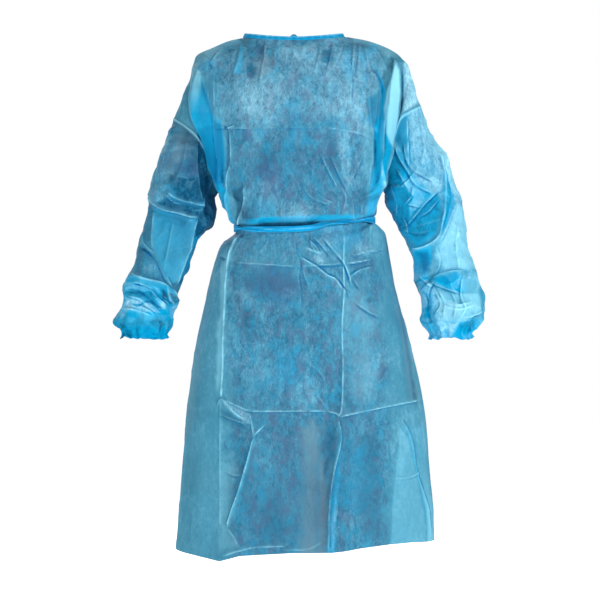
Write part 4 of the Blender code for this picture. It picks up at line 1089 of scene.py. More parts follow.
BACK_TINTS = (
    *SHOULDER_PAINTED_LIGHT,
    ("pale", 0, 28, 0.5, PLEAT_SIDE_RIGHT),
    ("bright", 12, 26, 0.4, ((-192, -110), (-184, -230), (-164, -340))),
    ("bright", 12, 26, 0.4, ((194, -100), (186, -220), (166, -330))),
    ("pale", 12, 30, 0.2, ((-206, -90), (-200, -200), (-184, -300))),
    ("pale", 12, 30, 0.2, ((208, -80), (204, -190), (188, -290))),
    ("bright", 12, 12, 0.5, ((-150, -410), (0, -412), (150, -404))),
    ("pale", 26, 40, 0.12, ((-170, -900), (-180, -1140))),
    ("pale", 26, 40, 0.12, ((190, -880), (206, -1140))),
    ("bright", 8, 12, 0.3, ((-100, -900), (-122, -1120))),
    ("bright", 8, 12, 0.3, ((104, -900), (132, -1130))),
)
tell("back", BACK_CREASES, BACK_TINTS)

# %% Shape of the back
BACK_ROWS, BACK_COLUMNS = 350, 330
LAP_PLACE = 0.605       # how far across the back a panel reaches from its side seam
PLY_GAP = 1.4           # half the extra distance between the panels where they lap
EDGE_LIFT = 2.2         # how far the lap's free edge stands off


def back_panel(side):
    """Back sheet from its side seam (place 0 on the left) to past the centre. Over the lap it
    steps out by a ply's gap on the right and in on the left, and its free edge lifts a little."""
    every = even_places(1, HEM_Z, NECK_UP, BACK_COLUMNS)
    u = every[every <= LAP_PLACE] if side < 0 else every[every >= 1 - LAP_PLACE]
    height = np.linspace(HEM_Z, 0, BACK_ROWS)
    grid = trunk_surface(u, 1, height)
    x, z = grid[..., 0], grid[..., 2]
    own = u if side < 0 else 1 - u
    ply = np.interp(own, (0.30, 0.33, 0.36, 0.395), (0, 1 / 3, 2 / 3, 1))
    lift, line = crease_marks(x, z, BACK_CREASES)
    off_belt = np.abs(z - belt_line(x, False))
    gathers = np.exp(-off_belt / 30) * np.sin(x / 2.9 + 3 * uneven(x, z, 24, 43))
    facet, shade, _ = facets(x, z * 0.65, 46, 41)
    crumpled = 3.4 * facet + 1.2 * facets(x, z * 0.7, 21, 42)[0] + 3 * uneven(x, z, 110, 44)
    lift += crumpled * soft_step((off_belt - 8) / 26)
    lift += 2 * gathers * soft_step((off_belt - 7) / 9)
    flat = soft_step(own / 0.02) * soft_step(-height / 22)[:, None] * soft_step((off_belt - 4) / 14)
    lapped = soft_step((own - 0.36) / 0.05)
    lift = lift * flat * (1 - 0.75 * lapped) + ply * PLY_GAP * side
    if side > 0:
        wave = 1 + uneven(z, x * 0, 90, 45)
        free = soft_step((own - 0.585) / 0.02)
        lift += EDGE_LIFT * free * wave * soft_step((off_belt - 12) / 30)
    grid += outward(grid) * lift[..., None]
    free_edge = np.exp(-(((own - LAP_PLACE + 0.012) / 0.004) ** 2)) * (side > 0)
    touching = lying_on_body(x, z, ((0, -190), (430, -150), (800, -172), (1180, -160)),
                             ((0, 190), (430, 150), (800, 200), (1180, 200)))
    tones = {"lying": 0.75 * touching, "bright": 0.3 * np.exp(-off_belt / 16),
             "pale": 0.12 * uneven(x, z, 90, 46) + 0.05 * shade,
             "line": line * flat - 0.4 * free_edge}
    tones = tinted(x, z, BACK_TINTS, tones)
    # The narrow hem along the free edge is two layers thick.
    tones["bright"] = tones["bright"] + 0.35 * soft_step((own - 0.59) / 0.006)
    name = "back_panel_left" if side < 0 else "back_panel_right"
    return sheet_mesh(name, grid, cloth, tones, flip=True)


backs = [declare(back_panel(-1), "back_left"), declare(back_panel(1), "back_right")]

# %% [markdown]
# ## The sleeves
# Each sleeve is one closed tube, set into the armhole and gathered by elastic at the wrist. Its
# sections are rounded outlines between an outer and an inner end, so that the tube can slant and
# bend at the elbow. The elastic is drawn by small gathers that run up into the puff above it.
# %% Sections of the sleeves
# Columns: outer end x, z, inner end x, z, half depth, y of the middle. x grows outwards.
SLEEVES = {
    -1: ((311, -258, 187, -378, 70, -2), (335, -328, 190, -402, 70, -5),
         (341, -390, 199, -426, 68, -9), (363, -458, 233, -470, 65, -13),
         (373, -516, 250, -528, 62, -17), (394, -562, 269, -578, 60, -21),
         (400, -606, 283, -622, 58, -25), (418, -644, 287, -652, 60, -28),
         (400, -668, 297, -672, 44, -30), (404, -677, 293, -681, 47, -31)),
    1: ((303, -238, 190, -366, 70, -2), (338, -296, 194, -386, 71, -5),
        (365, -370, 207, -408, 69, -9), (374, -432, 226, -446, 66, -13),
        (384, -492, 249, -506, 64, -17), (402, -548, 259, -562, 62, -21),
        (413, -600, 269, -614, 60, -25), (405, -642, 273, -650, 60, -28),
        (386, -668, 290, -671, 44, -30), (390, -677, 286, -680, 47, -31)),
}
print("sections of each sleeve:", len(SLEEVES[-1]))

# %% Folds and surface of the sleeves
# Folds by (side, front -1 or back 1), with the columns of FRONT_FOLDS.
SLEEVE_FOLDS = {
    (-1, -1): ((-345, -350, -240, -395, 14, 8), (-350, -400, -240, -430, 16, -7),
               (-375, -530, -280, -580, 14, 7), (-390, -575, -290, -600, 13, -6)),
    (-1, 1): ((-345, -370, -230, -400, 16, 7), (-385, -540, -270, -570, 14, 6),
              (-380, -480, -250, -500, 14, -5)),
    (1, -1): ((355, -330, 345, -440, 16, 8), (300, -350, 225, -430, 14, -6),
              (395, -520, 290, -560, 14, 7), (380, -590, 290, -600, 16, -6)),
    (1, 1): ((350, -360, 230, -390, 16, 7), (390, -540, 270, -570, 14, 6),
             (380, -470, 250, -490, 14, -5)),
}
SLEEVE_ROWS, SLEEVE_COLUMNS = 276, 244
SLEEVE_POWER = 0.92     # exponent of a section's outline, 1 is an ellipse
ARMPIT_SPREAD = 7       # how far a sleeve stands off the trunk just below the armpit
# Heights up the trunk's side at even steps round the armhole.
ARMHOLE_HEIGHTS = (-351, -320.5, -290, -235, -205, -175, -145, -115, -85, -55, 0)


def sleeve_surface(side):
    """Tube from the armhole's seam through the sections. A section is an outline
    middle + half cos(a)^0.92 + depth sin(a)^0.92, with the angle a starting at its inner end."""
    half = len(ARMHOLE_HEIGHTS) - 1
    full = 2 * half
    turn = np.arange(SLEEVE_COLUMNS) / SLEEVE_COLUMNS * full
    height = np.interp(np.where(turn <= half, turn, full - turn), range(half + 1),
                       ARMHOLE_HEIGHTS)
    edge = np.array([0.0 if side < 0 else 1.0])
    start = np.where((turn <= half)[:, None], trunk_surface(edge, -1, height)[:, 0],
                     trunk_surface(edge, 1, height)[:, 0])
    angle = 2 * math.pi * turn / full
    rows = [start]
    for outer_x, outer_z, inner_x, inner_z, depth, y in SLEEVES[side]:
        outer = np.array([side * outer_x, 0, outer_z])
        inner = np.array([side * inner_x, 0, inner_z])
        rows.append((outer + inner) / 2 + (0, y, 0)
                    + (inner - outer) / 2 * power(np.cos(angle), SLEEVE_POWER)[:, None]
                    + np.array([0, -depth, 0]) * power(np.sin(angle), SLEEVE_POWER)[:, None])
    rows = np.array(rows)
    middles = rows.mean(axis=1)
    keys = run_lengths(middles)
    at = np.linspace(0, keys[-1], SLEEVE_ROWS)
    grid = smooth(keys, rows, at)
    armpit = np.exp(-(((start[:, 2] - start[0, 2]) / 60) ** 2))
    spread = np.interp(at, (0, keys[1] / 2, keys[1], (keys[1] + keys[2]) / 2),
                       (0, ARMPIT_SPREAD, ARMPIT_SPREAD / 2, 0))
    grid[..., 0] += side * spread[:, None] * armpit
    x, z = grid[..., 0], grid[..., 2]
    facing = np.sign(grid[..., 1] - middles[-1, 1] * 0.5 + 1e-6)
    for way in (-1, 1):
        lift = fold_lift(x, z, SLEEVE_FOLDS[side, way]) * (facing == way)
        grid[..., 1] += way * lift * np.abs(np.sin(angle))
    return grid, at, angle


print("folds of the left sleeve in front:", len(SLEEVE_FOLDS[-1, -1]))

# %% Creases of the left sleeve
SLEEVE_CREASES = {}     # by (side, front -1 or back 1)
SLEEVE_CREASES[-1, -1] = (
    ("above_elbow", 15, 7, 0.7, 0.4, 0.35, ((-300, -352), (-276, -371), (-250, -380),
     (-210, -384))),
    ("elbow", 22, 10, 0.75, 0.65, 0.5, ((-338, -360), (-312, -389), (-274, -400), (-224, -411))),
    ("between", 12, -7, None, 0, 0.1, ((-316, -372), (-274, -389), (-216, -398))),
    ("panel_edge", 20, 8, -0.7, 0.4, 0.4, ((-227, -410), (-244, -467), (-268, -540), (-276, -566))),
    ("panel_upright", 12, 4, 0.6, 0.3, 0.15, ((-325, -396), (-331, -440), (-329, -478))),
    ("forearm_trough", 13, -7, 0.3, 0, 0.95, ((-366, -470), (-339, -487), (-321, -505),
     (-303, -540), (-284, -574))),
    ("puff_top", 18, 9, -0.75, 0.6, 0.2, ((-378, -535), (-345, -547), (-303, -558), (-287, -572),
     (-272, -602))),
    ("puff_fold", 13, -8, -0.3, 0, 0.8, ((-390, -570), (-354, -581), (-332, -598), (-304, -618))),
    ("puff_ridge", 14, 7, 0.7, 0.6, 0.2, ((-388, -584), (-356, -594), (-338, -610), (-316, -626))),
    ("puff_low", 12, 5, -0.6, 0.5, 0.4, ((-402, -612), (-366, -616), (-330, -630))),
    ("puff_side", 12, 6, 0.6, 0.5, 0.4, ((-300, -560), (-294, -590), (-280, -620))),
    ("upper_1", 22, 4, 0.7, 0.1, 0.15, ((-246, -218), (-262, -290), (-282, -344))),
    ("upper_2", 18, 4, -0.7, 0.15, 0.15, ((-282, -196), (-300, -262), (-318, -330))),
    ("upper_3", 16, 6, -0.7, 0.15, 0.35, ((-226, -236), (-228, -300), (-220, -372))),
    ("upper_4", 16, 4, None, 0, 0, ((-252, -300), (-276, -326), (-300, -338))),
    ("forearm_1", 16, 4, 0.7, 0.2, 0.15, ((-282, -416), (-294, -480), (-304, -530))),
    ("forearm_2", 12, 4, -0.6, 0.3, 0.3, ((-356, -436), (-346, -470), (-322, -492))),
    ("puff_1", 9, 5, 0.6, 0.6, 0.8, ((-376, -556), (-346, -560), (-318, -574))),
    ("puff_2", 9, 5, -0.6, 0.5, 0.8, ((-334, -566), (-316, -588), (-296, -610))),
    ("puff_3", 8, 4, 0.6, 0.5, 0.7, ((-312, -578), (-296, -590), (-284, -606))),
    ("puff_4", 9, 4, -0.6, 0.5, 0.7, ((-366, -604), (-342, -614), (-322, -628))),
    ("elbow_1", 10, 4, 0.6, 0.3, 0.7, ((-300, -362), (-280, -378), (-258, -384))),
    ("forearm_3", 10, 4, -0.6, 0.4, 0.6, ((-296, -540), (-286, -562), (-282, -590))),
    ("inner_fold", 14, -7, None, 0, 0, ((-206, -300), (-200, -360), (-214, -430))),
)
SLEEVE_CREASES[-1, 1] = (
    ("elbow_back", 22, 9, 0.6, 0.5, 0.4, ((-334, -372), (-290, -392), (-222, -404))),
    ("elbow_back_low", 18, 7, -0.6, 0.45, 0.4, ((-350, -410), (-300, -420), (-232, -440))),
    ("upper_back", 20, 5, 0.6, 0.3, 0.3, ((-250, -230), (-270, -300), (-290, -360))),
    ("forearm_back", 18, 7, 0.6, 0.4, 0.4, ((-366, -500), (-320, -520), (-276, -560))),
    ("forearm_back_low", 16, 7, -0.6, 0.4, 0.5, ((-386, -560), (-340, -586), (-290, -606))),
)
print("creases behind:", len(SLEEVE_CREASES[-1, 1]))

# %% Tones of the left sleeve
SLEEVE_TONES_AND_PAINTED_LIGHT = {}       # by side
SLEEVE_TONES_AND_PAINTED_LIGHT[-1] = (
    ("grey", 26, 40, 0.3, ((-244, -180), (-266, -270), (-300, -340))),
    # Painted shade: the dark inner side of the upper arm beside the trunk, and the darker upper
    # inner part.
    ("pale", 0, 10, -0.95, ((-228, -226), (-210, -262), (-194, -300), (-172, -366), (-184, -412),
     (-200, -440), (-230, -452), (-230, -414), (-208, -385), (-217, -338), (-228, -284))),
    ("pale", 0, 22, -0.45, ((-262, -200), (-229, -222), (-226, -284), (-217, -338), (-230, -350),
     (-262, -300))),
    ("grey", 0, 22, -0.55, ((-280, -292), (-250, -284), (-226, -290), (-226, -318), (-250, -322),
     (-278, -314))),
    ("pale", 0, 18, -1, ((-292, -318), (-262, -322), (-222, -322), (-208, -350), (-206, -380),
     (-252, -376), (-286, -352))),
    # Painted shade in the trough between the folds above the elbow.
    ("pale", 0, 7, -0.6, ((-300, -364), (-256, -381), (-208, -388), (-224, -408), (-278, -397),
     (-316, -378))),
    ("bright", 0, 10, 0.3, ((-292, -340), (-208, -352), (-210, -400), (-300, -380))),
    ("pale", 9, 12, 0.2, ((-288, -212), (-312, -262), (-330, -320))),
    ("bright", 0, 10, 0.35, ((-325, -388), (-230, -412), (-236, -462), (-262, -533),
     (-280, -556), (-300, -540), (-318, -500), (-332, -440))),
    ("pale", 0, 20, -0.2, ((-316, -404), (-262, -414), (-252, -480), (-286, -530), (-312, -480))),
    ("pale", 0, 12, -0.2, ((-262, -420), (-232, -420), (-238, -462), (-254, -510), (-268, -500))),
    # Painted shade: a deep blue strip beside the forearm panel's edge, in this row and the next.
    ("bright", 0, 6, 0.9, ((-228, -413), (-216, -440), (-218, -490), (-252, -566), (-273, -560),
     (-262, -533), (-236, -462))),
    ("pale", 0, 6, -0.5, ((-228, -413), (-216, -440), (-218, -490), (-252, -566), (-270, -558),
     (-260, -533), (-234, -462))),
    ("pale", 0, 12, -0.15, ((-344, -380), (-328, -400), (-334, -440), (-336, -484), (-368, -470))),
    ("lying", 0, 10, 0.8, ((-363, -478), (-336, -486), (-305, -540), (-314, -554), (-368, -536))),
    ("pale", 0, 14, 0.2, ((-352, -500), (-322, -504), (-316, -536), (-350, -540))),
    # Down to the cuff's bright row, the pale patches of the puff are painted highlights and its
    # dark patches and lines painted shadows in its folds and pocket.
    ("pale", 0, 6, 0.45, ((-392, -554), (-346, -556), (-312, -566), (-308, -578), (-346, -576),
     (-392, -576))),
    ("bright", 0, 8, 0.75, ((-388, -538), (-345, -543), (-296, -562), (-276, -588), (-268, -612),
     (-290, -640), (-410, -620), (-396, -580))),
    ("pale", 0, 5, -0.3, ((-368, -580), (-330, -576), (-300, -584), (-310, -600), (-350, -592))),
    ("pale", 0, 5, 0.45, ((-396, -586), (-356, -596), (-326, -606), (-310, -620), (-340, -622),
     (-386, -614))),
    ("pale", 0, 4, 0.4, ((-326, -588), (-304, -600), (-298, -614), (-312, -612))),
    ("pale", 0, 5, -0.7, ((-308, -568), (-288, -576), (-277, -592), (-288, -600), (-306, -590))),
    ("pale", 2.6, 4, -0.7, ((-394, -596), (-362, -604), (-336, -598), (-312, -614))),
    ("pale", 2.6, 4, -0.5, ((-374, -556), (-340, -560), (-312, -580))),
    ("bright", 0, 10, 0.65, ((-430, -606), (-370, -620), (-330, -614), (-268, -626),
     (-262, -700), (-434, -700))),
    ("pale", 0, 6, -0.15, ((-384, -646), (-350, -640), (-330, -650), (-334, -672), (-380, -676))),
    ("pale", 0, 5, 0.2, ((-400, -622), (-366, -632), (-374, -644), (-400, -640))),
    ("line", 0, 6, 0.1, ((-366, -618), (-318, -622), (-296, -630), (-300, -640), (-350, -638))),
    ("pale", 0, 7, -0.35, ((-416, -646), (-396, -646), (-380, -672), (-404, -684))),
    ("pale", 0, 6, -0.4, ((-336, -640), (-318, -632), (-300, -650), (-312, -668))),
)
tell("left sleeve in front", SLEEVE_CREASES[-1, -1], SLEEVE_TONES_AND_PAINTED_LIGHT[-1])

# %% Creases of the right sleeve
SLEEVE_CREASES[1, -1] = (
    ("upper_upright", 20, 5, -0.75, 0.5, 0.4, ((239, -186), (240, -240), (243, -292))),
    ("upper_slant_1", 9, 5, 0.6, 0.4, 1, ((230, -248), (238, -286), (252, -306), (272, -318),
     (296, -330))),
    ("upper_slant_2", 10, 6, 0.6, 0.8, 1, ((208, -242), (220, -276), (242, -312), (258, -338),
     (296, -358))),
    ("crook_1", 7, 4, 0.5, 0.6, 0.8, ((252, -340), (249, -364))),
    ("crook_2", 7, 4, -0.5, 0.6, 0.8, ((249, -364), (236, -380))),
    ("crook_3", 7, 4, 0.5, 0.6, 0.8, ((234, -380), (272, -388))),
    ("crook_v", 14, 8, -0.6, 0.6, 1, ((308, -350), (276, -386), (240, -432))),
    ("crook_4", 8, 4, 0.6, 0.4, 0.4, ((214, -300), (232, -330), (244, -350))),
    ("crook_5", 8, 4, -0.6, 0.4, 0.3, ((222, -344), (240, -330), (262, -300))),
    ("crook_6", 9, 4, 0.6, 0.4, 0.8, ((262, -412), (288, -396), (312, -366))),
    ("crook_7", 8, 4, -0.6, 0.4, 0.8, ((226, -402), (242, -424), (246, -450))),
    ("pocket", 15, -10, 0.3, 0, 0.3, ((318, -286), (337, -325), (341, -362), (326, -414),
     (312, -450))),
    ("ring", 20, 9, 0.75, 0.65, 0.35, ((308, -262), (319, -312), (321, -364), (317, -414),
     (308, -452), (278, -474), (246, -480))),
    ("panel_edge", 18, 8, -0.7, 0.5, 0.3, ((352, -372), (334, -416), (311, -466))),
    ("crook_low", 13, 5, 0.5, 0.24, 0.44, ((230, -436), (262, -446), (296, -440))),
    ("crook_inner", 12, 5, -0.5, 0.3, 0.6, ((206, -340), (218, -380), (216, -420))),
    ("facet_top", 18, 8, -0.6, 0.4, 0.3, ((288, -555), (321, -534), (366, -529))),
    ("facet_side", 14, 6, 0.6, 0.4, 0.4, ((362, -530), (357, -580), (364, -606))),
    ("facet_low", 15, 7, 0.6, 0.4, 0.4, ((292, -551), (308, -563), (358, -580))),
    ("elbow_strip", 12, 5, -0.6, 0.5, 0.5, ((266, -578), (280, -562), (296, -554))),
    ("puff_line", 12, 6, 0.5, 0.5, 0.5, ((360, -637), (384, -629), (410, -619))),
    ("puff_trough", 13, -6, 0, 0.1, 0.5, ((278, -576), (284, -616), (292, -650))),
    ("puff_1", 13, 5, 0.6, 0.6, 0.3, ((306, -572), (322, -600), (318, -636))),
    ("puff_2", 12, 5, -0.6, 0.6, 0.3, ((322, -600), (352, -606), (384, -596))),
    ("puff_3", 11, 4, 0.5, 0.5, 0.3, ((336, -574), (346, -600), (342, -636))),
    ("forearm_1", 20, 6, 0.7, 0.4, 0.2, ((352, -420), (346, -480), (354, -528))),
    ("forearm_2", 16, 5, -0.6, 0.35, 0.4, ((304, -474), (312, -510), (300, -550))),
    ("outer_1", 18, 5, -0.6, 0.35, 0.2, ((300, -214), (318, -262), (340, -320))),
    ("mid_1", 14, 4, 0.6, 0.25, 0.25, ((268, -180), (276, -230), (270, -300))),
    ("puff_4", 8, 4, 0.6, 0.6, 0.6, ((300, -576), (312, -604), (300, -630))),
    ("puff_5", 8, 4, -0.6, 0.7, 0.2, ((312, -604), (352, -616), (388, -604))),
    ("puff_6", 8, 4, 0.6, 0.6, 0.2, ((356, -590), (366, -614), (356, -634))),
    ("elbow_1", 9, 4, 0.6, 0.5, 0.7, ((262, -536), (282, -556), (296, -566))),
    ("elbow_2", 9, 4, -0.6, 0.5, 0.7, ((300, -552), (286, -574), (282, -596))),
)
SLEEVE_CREASES[1, 1] = (
    ("elbow_back", 22, 9, 0.6, 0.5, 0.4, ((350, -356), (300, -376), (228, -390))),
    ("elbow_back_low", 18, 7, -0.6, 0.45, 0.4, ((362, -400), (306, -410), (236, -430))),
    ("upper_back", 20, 5, 0.6, 0.3, 0.3, ((246, -210), (268, -290), (296, -350))),
    ("forearm_back", 18, 7, 0.6, 0.4, 0.4, ((376, -490), (330, -512), (280, -552))),
    ("forearm_back_low", 16, 7, -0.6, 0.4, 0.5, ((396, -550), (350, -580), (300, -600))),
)
print("creases behind:", len(SLEEVE_CREASES[1, 1]))

# %% Tones of the right sleeve
UPPER_RIGHT = ((245, -171), (270, -160), (306, -249), (317, -290), (315, -349), (295, -360),
               (245, -304))
FOREARM_RIGHT = ((350, -380), (380, -390), (396, -472), (396, -527), (323, -527), (300, -494),
                 (318, -456))
SLEEVE_TONES_AND_PAINTED_LIGHT[1] = (
    ("bright", 0, 12, 0.3, ((217, -188), (241, -176), (243, -272), (230, -266), (212, -232))),
    ("pale", 0, 12, -0.5, ((217, -188), (238, -178), (240, -272), (230, -266), (212, -232))),
    ("lying", 0, 12, 0.6, UPPER_RIGHT),
    ("pale", 0, 12, 0.26, UPPER_RIGHT),
    ("line", 14, 20, 0.3, ((276, -150), (306, -220), (330, -300))),
    ("bright", 0, 9, 0.5, ((204, -250), (222, -262), (242, -310), (232, -340), (206, -346),
     (188, -330))),
    ("pale", 0, 8, -0.35, ((204, -250), (222, -262), (236, -300), (226, -330), (206, -346),
     (188, -330))),
    ("bright", 0, 14, 0.5, ((192, -326), (240, -308), (300, -362), (314, -380), (301, -450),
     (262, -474), (236, -452), (200, -400))),
    ("lying", 0, 14, 0.15, ((192, -326), (240, -308), (314, -380), (301, -450), (200, -400))),
    ("pale", 0, 9, -0.65, ((192, -334), (220, -328), (250, -366), (240, -386), (244, -430),
     (226, -440), (198, -396))),
    ("pale", 0, 12, -0.5, ((254, -398), (304, -360), (314, -392), (302, -440), (262, -462),
     (240, -438))),
    ("bright", 0, 5, 1, ((322, -286), (336, -318), (346, -344), (346, -378), (330, -416),
     (316, -450), (322, -400), (318, -349))),
    ("pale", 0, 6, -0.5, ((324, -300), (335, -330), (336, -376), (324, -416), (318, -440),
     (323, -400), (320, -349))),
    ("pale", 10, 10, 0.4, ((308, -220), (334, -296), (366, -400))),
    ("line", 0, 14, 0.36, FOREARM_RIGHT),
    ("pale", 0, 14, 0.16, FOREARM_RIGHT),
    ("bright", 0, 7, 0.8, ((246, -478), (292, -474), (290, -516), (286, -548), (268, -560),
     (254, -530))),
    ("line", 0, 14, -0.75, ((262, -486), (284, -486), (288, -528), (272, -536))),
    # Painted shadow: the dark triangle under the fold across the forearm, in this row and the next.
    ("bright", 0, 5, 0.7, ((296, -549), (345, -533), (362, -545), (371, -577), (330, -572))),
    ("line", 0, 5, -0.4, ((296, -549), (345, -533), (352, -540), (336, -556), (320, -560))),
    ("pale", 0, 5, 0.2, ((336, -556), (356, -544), (366, -574), (340, -568))),
    # Painted highlight across the puff.
    ("line", 0, 6, 0.34, ((302, -566), (330, -576), (372, -580), (398, -580), (404, -612),
     (376, -640), (330, -642), (302, -620))),
    ("grey", 0, 8, 0.3, ((308, -604), (340, -596), (360, -616), (346, -636), (316, -634))),
    ("line", 0, 6, 0.22, ((356, -548), (396, -540), (408, -600), (400, -630), (372, -620))),
    ("bright", 0, 6, 0.8, ((266, -560), (292, -566), (300, -600), (296, -650), (270, -650))),
    ("pale", 0, 5, -0.3, ((276, -580), (288, -584), (292, -630), (278, -636))),
    ("bright", 0, 8, 0.35, ((262, -640), (420, -636), (410, -700), (262, -700))),
    ("pale", 0, 6, 0.35, ((300, -644), (350, -644), (344, -664), (306, -660))),
    ("pale", 0, 6, -0.4, ((352, -650), (384, -634), (392, -660), (366, -668))),
)
tell("right sleeve in front", SLEEVE_CREASES[1, -1], SLEEVE_TONES_AND_PAINTED_LIGHT[1])

# %% Shape of the sleeves
def sleeve(side):
    """The tube with its creases, facets and gathers, measured off its own middle line."""
    grid, down, angle = sleeve_surface(side)
    x, y, z = np.moveaxis(grid, -1, 0)
    middle = grid.mean(axis=1, keepdims=True)
    front = soft_step((middle[..., 1] - y) / 16 + 0.5)
    lift, line = 0, 0
    for way, share in ((-1, front), (1, 1 - front)):
        one, mark = crease_marks(x, z, SLEEVE_CREASES[side, way])
        lift, line = lift + one * share, line + mark * share
    facet, shade, facet_edge_highlight = facets(x + 0.7 * y, z + 0.3 * y, 38, 50 + side)
    little, small_facet_shade, _ = facets(x + 0.7 * y, z + 0.3 * y, 17, 55 + side)
    lift += 8 * facet + 2.8 * little
    crushed = np.interp(z, (-660, -600, -555, -530, -430, -390, -330, -200),
                        (0.5, 1, 0.9, 0.4, 0.35, 0.7, 0.5, 0.2))
    broken = np.clip(2.2 * uneven(x + y, z, 21, 58 + side), 0, 1) * crushed
    lift += 2.5 * uneven(x + 0.6 * y, z + 0.4 * y, 80, 60 + side)
    lift = lift * soft_step(down / 26)[:, None] * soft_step((down[-1] - down) / 30 + 0.2)[:, None]
    # The elastic bunches the cloth: 13 uneven waves round the wrist, and finer ones on them.
    bunch = np.interp(down, down[-1] - np.array([80, 46, 20, 9, 0]), (0, 1.6, 4.2, 2.8, 2.2))
    fine = np.interp(down, down[-1] - np.array([40, 16, 9, 0]), (0, 0.9, 1.2, 0))
    stray = 2.6 * uneven(x + 0.8 * y, z * 0.5, 34, 70 + side)
    waves = np.sin(13 * angle + stray) + 0.5 * np.sin(7 * angle + 2 * stray)
    lift += bunch[:, None] * (waves - 0.3)
    lift += fine[:, None] * np.sin(31 * angle + 2 * stray)
    # The seam is a thin welt.
    welt = np.exp(-(((down - 3) / 2.2) ** 2))[:, None]
    wide = np.concatenate([grid[:, -1:], grid, grid[:, :1]], axis=1)
    grid = grid + outward(wide, middle[..., :2])[:, 1:-1] * (lift + 1.4 * welt)[..., None]
    frill = soft_step((down - down[-1] + 14) / 12)[:, None]
    grid[..., 2] += frill * 5 * uneven(x + 40 * side, y, 34, 75)
    cuff = soft_step((down - down[-1] + 34) / 20)[:, None]
    # In these tones the pale lines on the facets' edges are painted highlights, and the facets'
    # shades in pale are painted shade.
    tones = {"lying": (0.95 if side < 0 else 0.2) * soft_step((z + 440) / 90 + 0.4),
             "bright": 0.35 * cuff + (0.1 if side < 0 else 0.4),
             "line": 1.25 * line + 0.7 * welt + 0.22 * facet_edge_highlight * broken,
             "pale": (0.1 * uneven(x + y, z, 50, 80) + (0.28 * shade + 0.2 * small_facet_shade) * crushed
                      + (-0.04 if side < 0 else 0.12))}
    tones = tinted(x, z, SLEEVE_TONES_AND_PAINTED_LIGHT[side], tones, 0.4)
    name = "sleeve_left_cloth" if side < 0 else "sleeve_right_cloth"
    return sheet_mesh(name, grid, cloth, tones, closed=True, flip=side > 0)


sleeves = [declare(sleeve(-1), "sleeve_left"), declare(sleeve(1), "sleeve_right")]

# %% [markdown]
# ## Binding, belt and ties
# The neck's edge is bound with a folded strip, and the belt and the four ties are strips of the
# same cloth. Each is a small closed outline carried along a path, with its ends drawn together.
# %% Straps along a path
# x, y, z of the middle of each knot, and its half width, half depth and half height.
KNOTS = {"neck": (-14, 73.5, 3.4, 10, 5, 7), "belt": (0, 108.5, -425, 12, 6, 10)}
# x, z of the points that each tie hangs through.
TAILS = {
    "neck_tail_left": ((-23.3, -4.1), (-40, -60), (-50, -130), (-46, -205)),
    "neck_tail_right": ((-4.7, -4.1), (6, -50), (14, -110), (10, -180)),
    "belt_tail_left": ((-9.3, -435.3), (-30, -490), (-42, -570), (-38, -680)),
    "belt_tail_right": ((9.3, -435.3), (26, -500), (34, -590), (30, -720)),
}
BELT_WIDTH, BINDING_WIDTH, STRAP_WALL = 18, 11, 2.2
HALF_CLOTH, SEAM_GAP = 0.8, 0.3     # half a panel's wall, and the gap between sewn pieces


def even_points(line, skip, count):
    """count points at even steps along a line, leaving out a length at each end."""
    length = run_lengths(line)
    at = np.linspace(skip, length[-1] - skip, count)
    return np.stack([np.interp(at, length, line[:, axis]) for axis in range(3)], axis=1)


def once_round(count):
    """Angles of count points at even steps round a circle."""
    return 2 * math.pi * np.arange(count) / count


def strap(name, path, across, out, half, thick, tones, columns):
    """A strip carried along a path: its outline is half cos(a)^0.6 across by
    thick / 2 sin(a)^0.6 outwards. half and thick are arrays of a value for each point or each
    point and angle. The first and last rows are drawn together to close it."""
    angle = once_round(columns)
    a, b = power(np.cos(angle), 0.6), power(np.sin(angle), 0.6)
    shape = (len(path), columns)
    half, thick = np.broadcast_to(half, shape), np.broadcast_to(thick, shape)
    grid = (path[:, None] + across[:, None] * (half * a)[..., None]
            + out[:, None] * (thick / 2 * b)[..., None])
    for end in (0, -1):
        grid[end] = grid[end].mean(axis=0)
    channels = {key: np.broadcast_to(value, shape) for key, value in tones.items()}
    piece = sheet_mesh(name, grid, trim, channels, closed=True)
    close_ends(piece)
    return declare(piece, None)


def close_ends(piece):
    """Merges the points that lie on each other at the ends, and turns all faces outwards."""
    shape = bmesh.new()
    shape.from_mesh(piece.data)
    bmesh.ops.remove_doubles(shape, verts=shape.verts, dist=1e-6)
    bmesh.ops.recalc_face_normals(shape, faces=shape.faces)
    shape.to_mesh(piece.data)
    shape.free()


print("straps:", 2 + len(TAILS), "and knots:", len(KNOTS))

# %% The neck binding
HALF_NECK, NECK_POINTS, NECK_COLUMNS = 48, 380, 36
places = np.linspace(NECK_STATION, 1 - NECK_STATION, 2 * HALF_NECK + 1)
front_edge, back_edge = top_row(places, -1), top_row(places, 1)
# From the centre back round the front and back again.
loop = np.vstack([back_edge[HALF_NECK::-1], front_edge[1:], back_edge[-2:HALF_NECK - 1:-1]])
loop = even_points(loop + (NECK_SHIFT * 0.93, 0, 0), KNOTS["neck"][3] + SEAM_GAP, NECK_POINTS)
inward = unit((NECK_SHIFT, 0, 0) - loop * (1, 1, 0))
low = loop + inward * SEAM_GAP - (0, 0, HALF_CLOTH)
rise = inward * 4 + (0, 0, BINDING_WIDTH - 2)
middle, up = low + rise / 2, unit(rise)
outside = unit(np.cross(np.gradient(middle, axis=0), up))
outside *= np.where((outside * inward).sum(axis=1, keepdims=True) > 0, -1, 1)
along = np.arange(NECK_POINTS) * 1.09       # millimetres along the binding
fold_over = np.cos(once_round(NECK_COLUMNS))[None, :]       # 1 at the upper edge, -1 below
pucker = 0.5 * np.sin(along / 2.1 + 3 * uneven(along, along * 0, 16, 101))[:, None]
groove = np.exp(-(((fold_over - 0.05) / 0.2) ** 2))
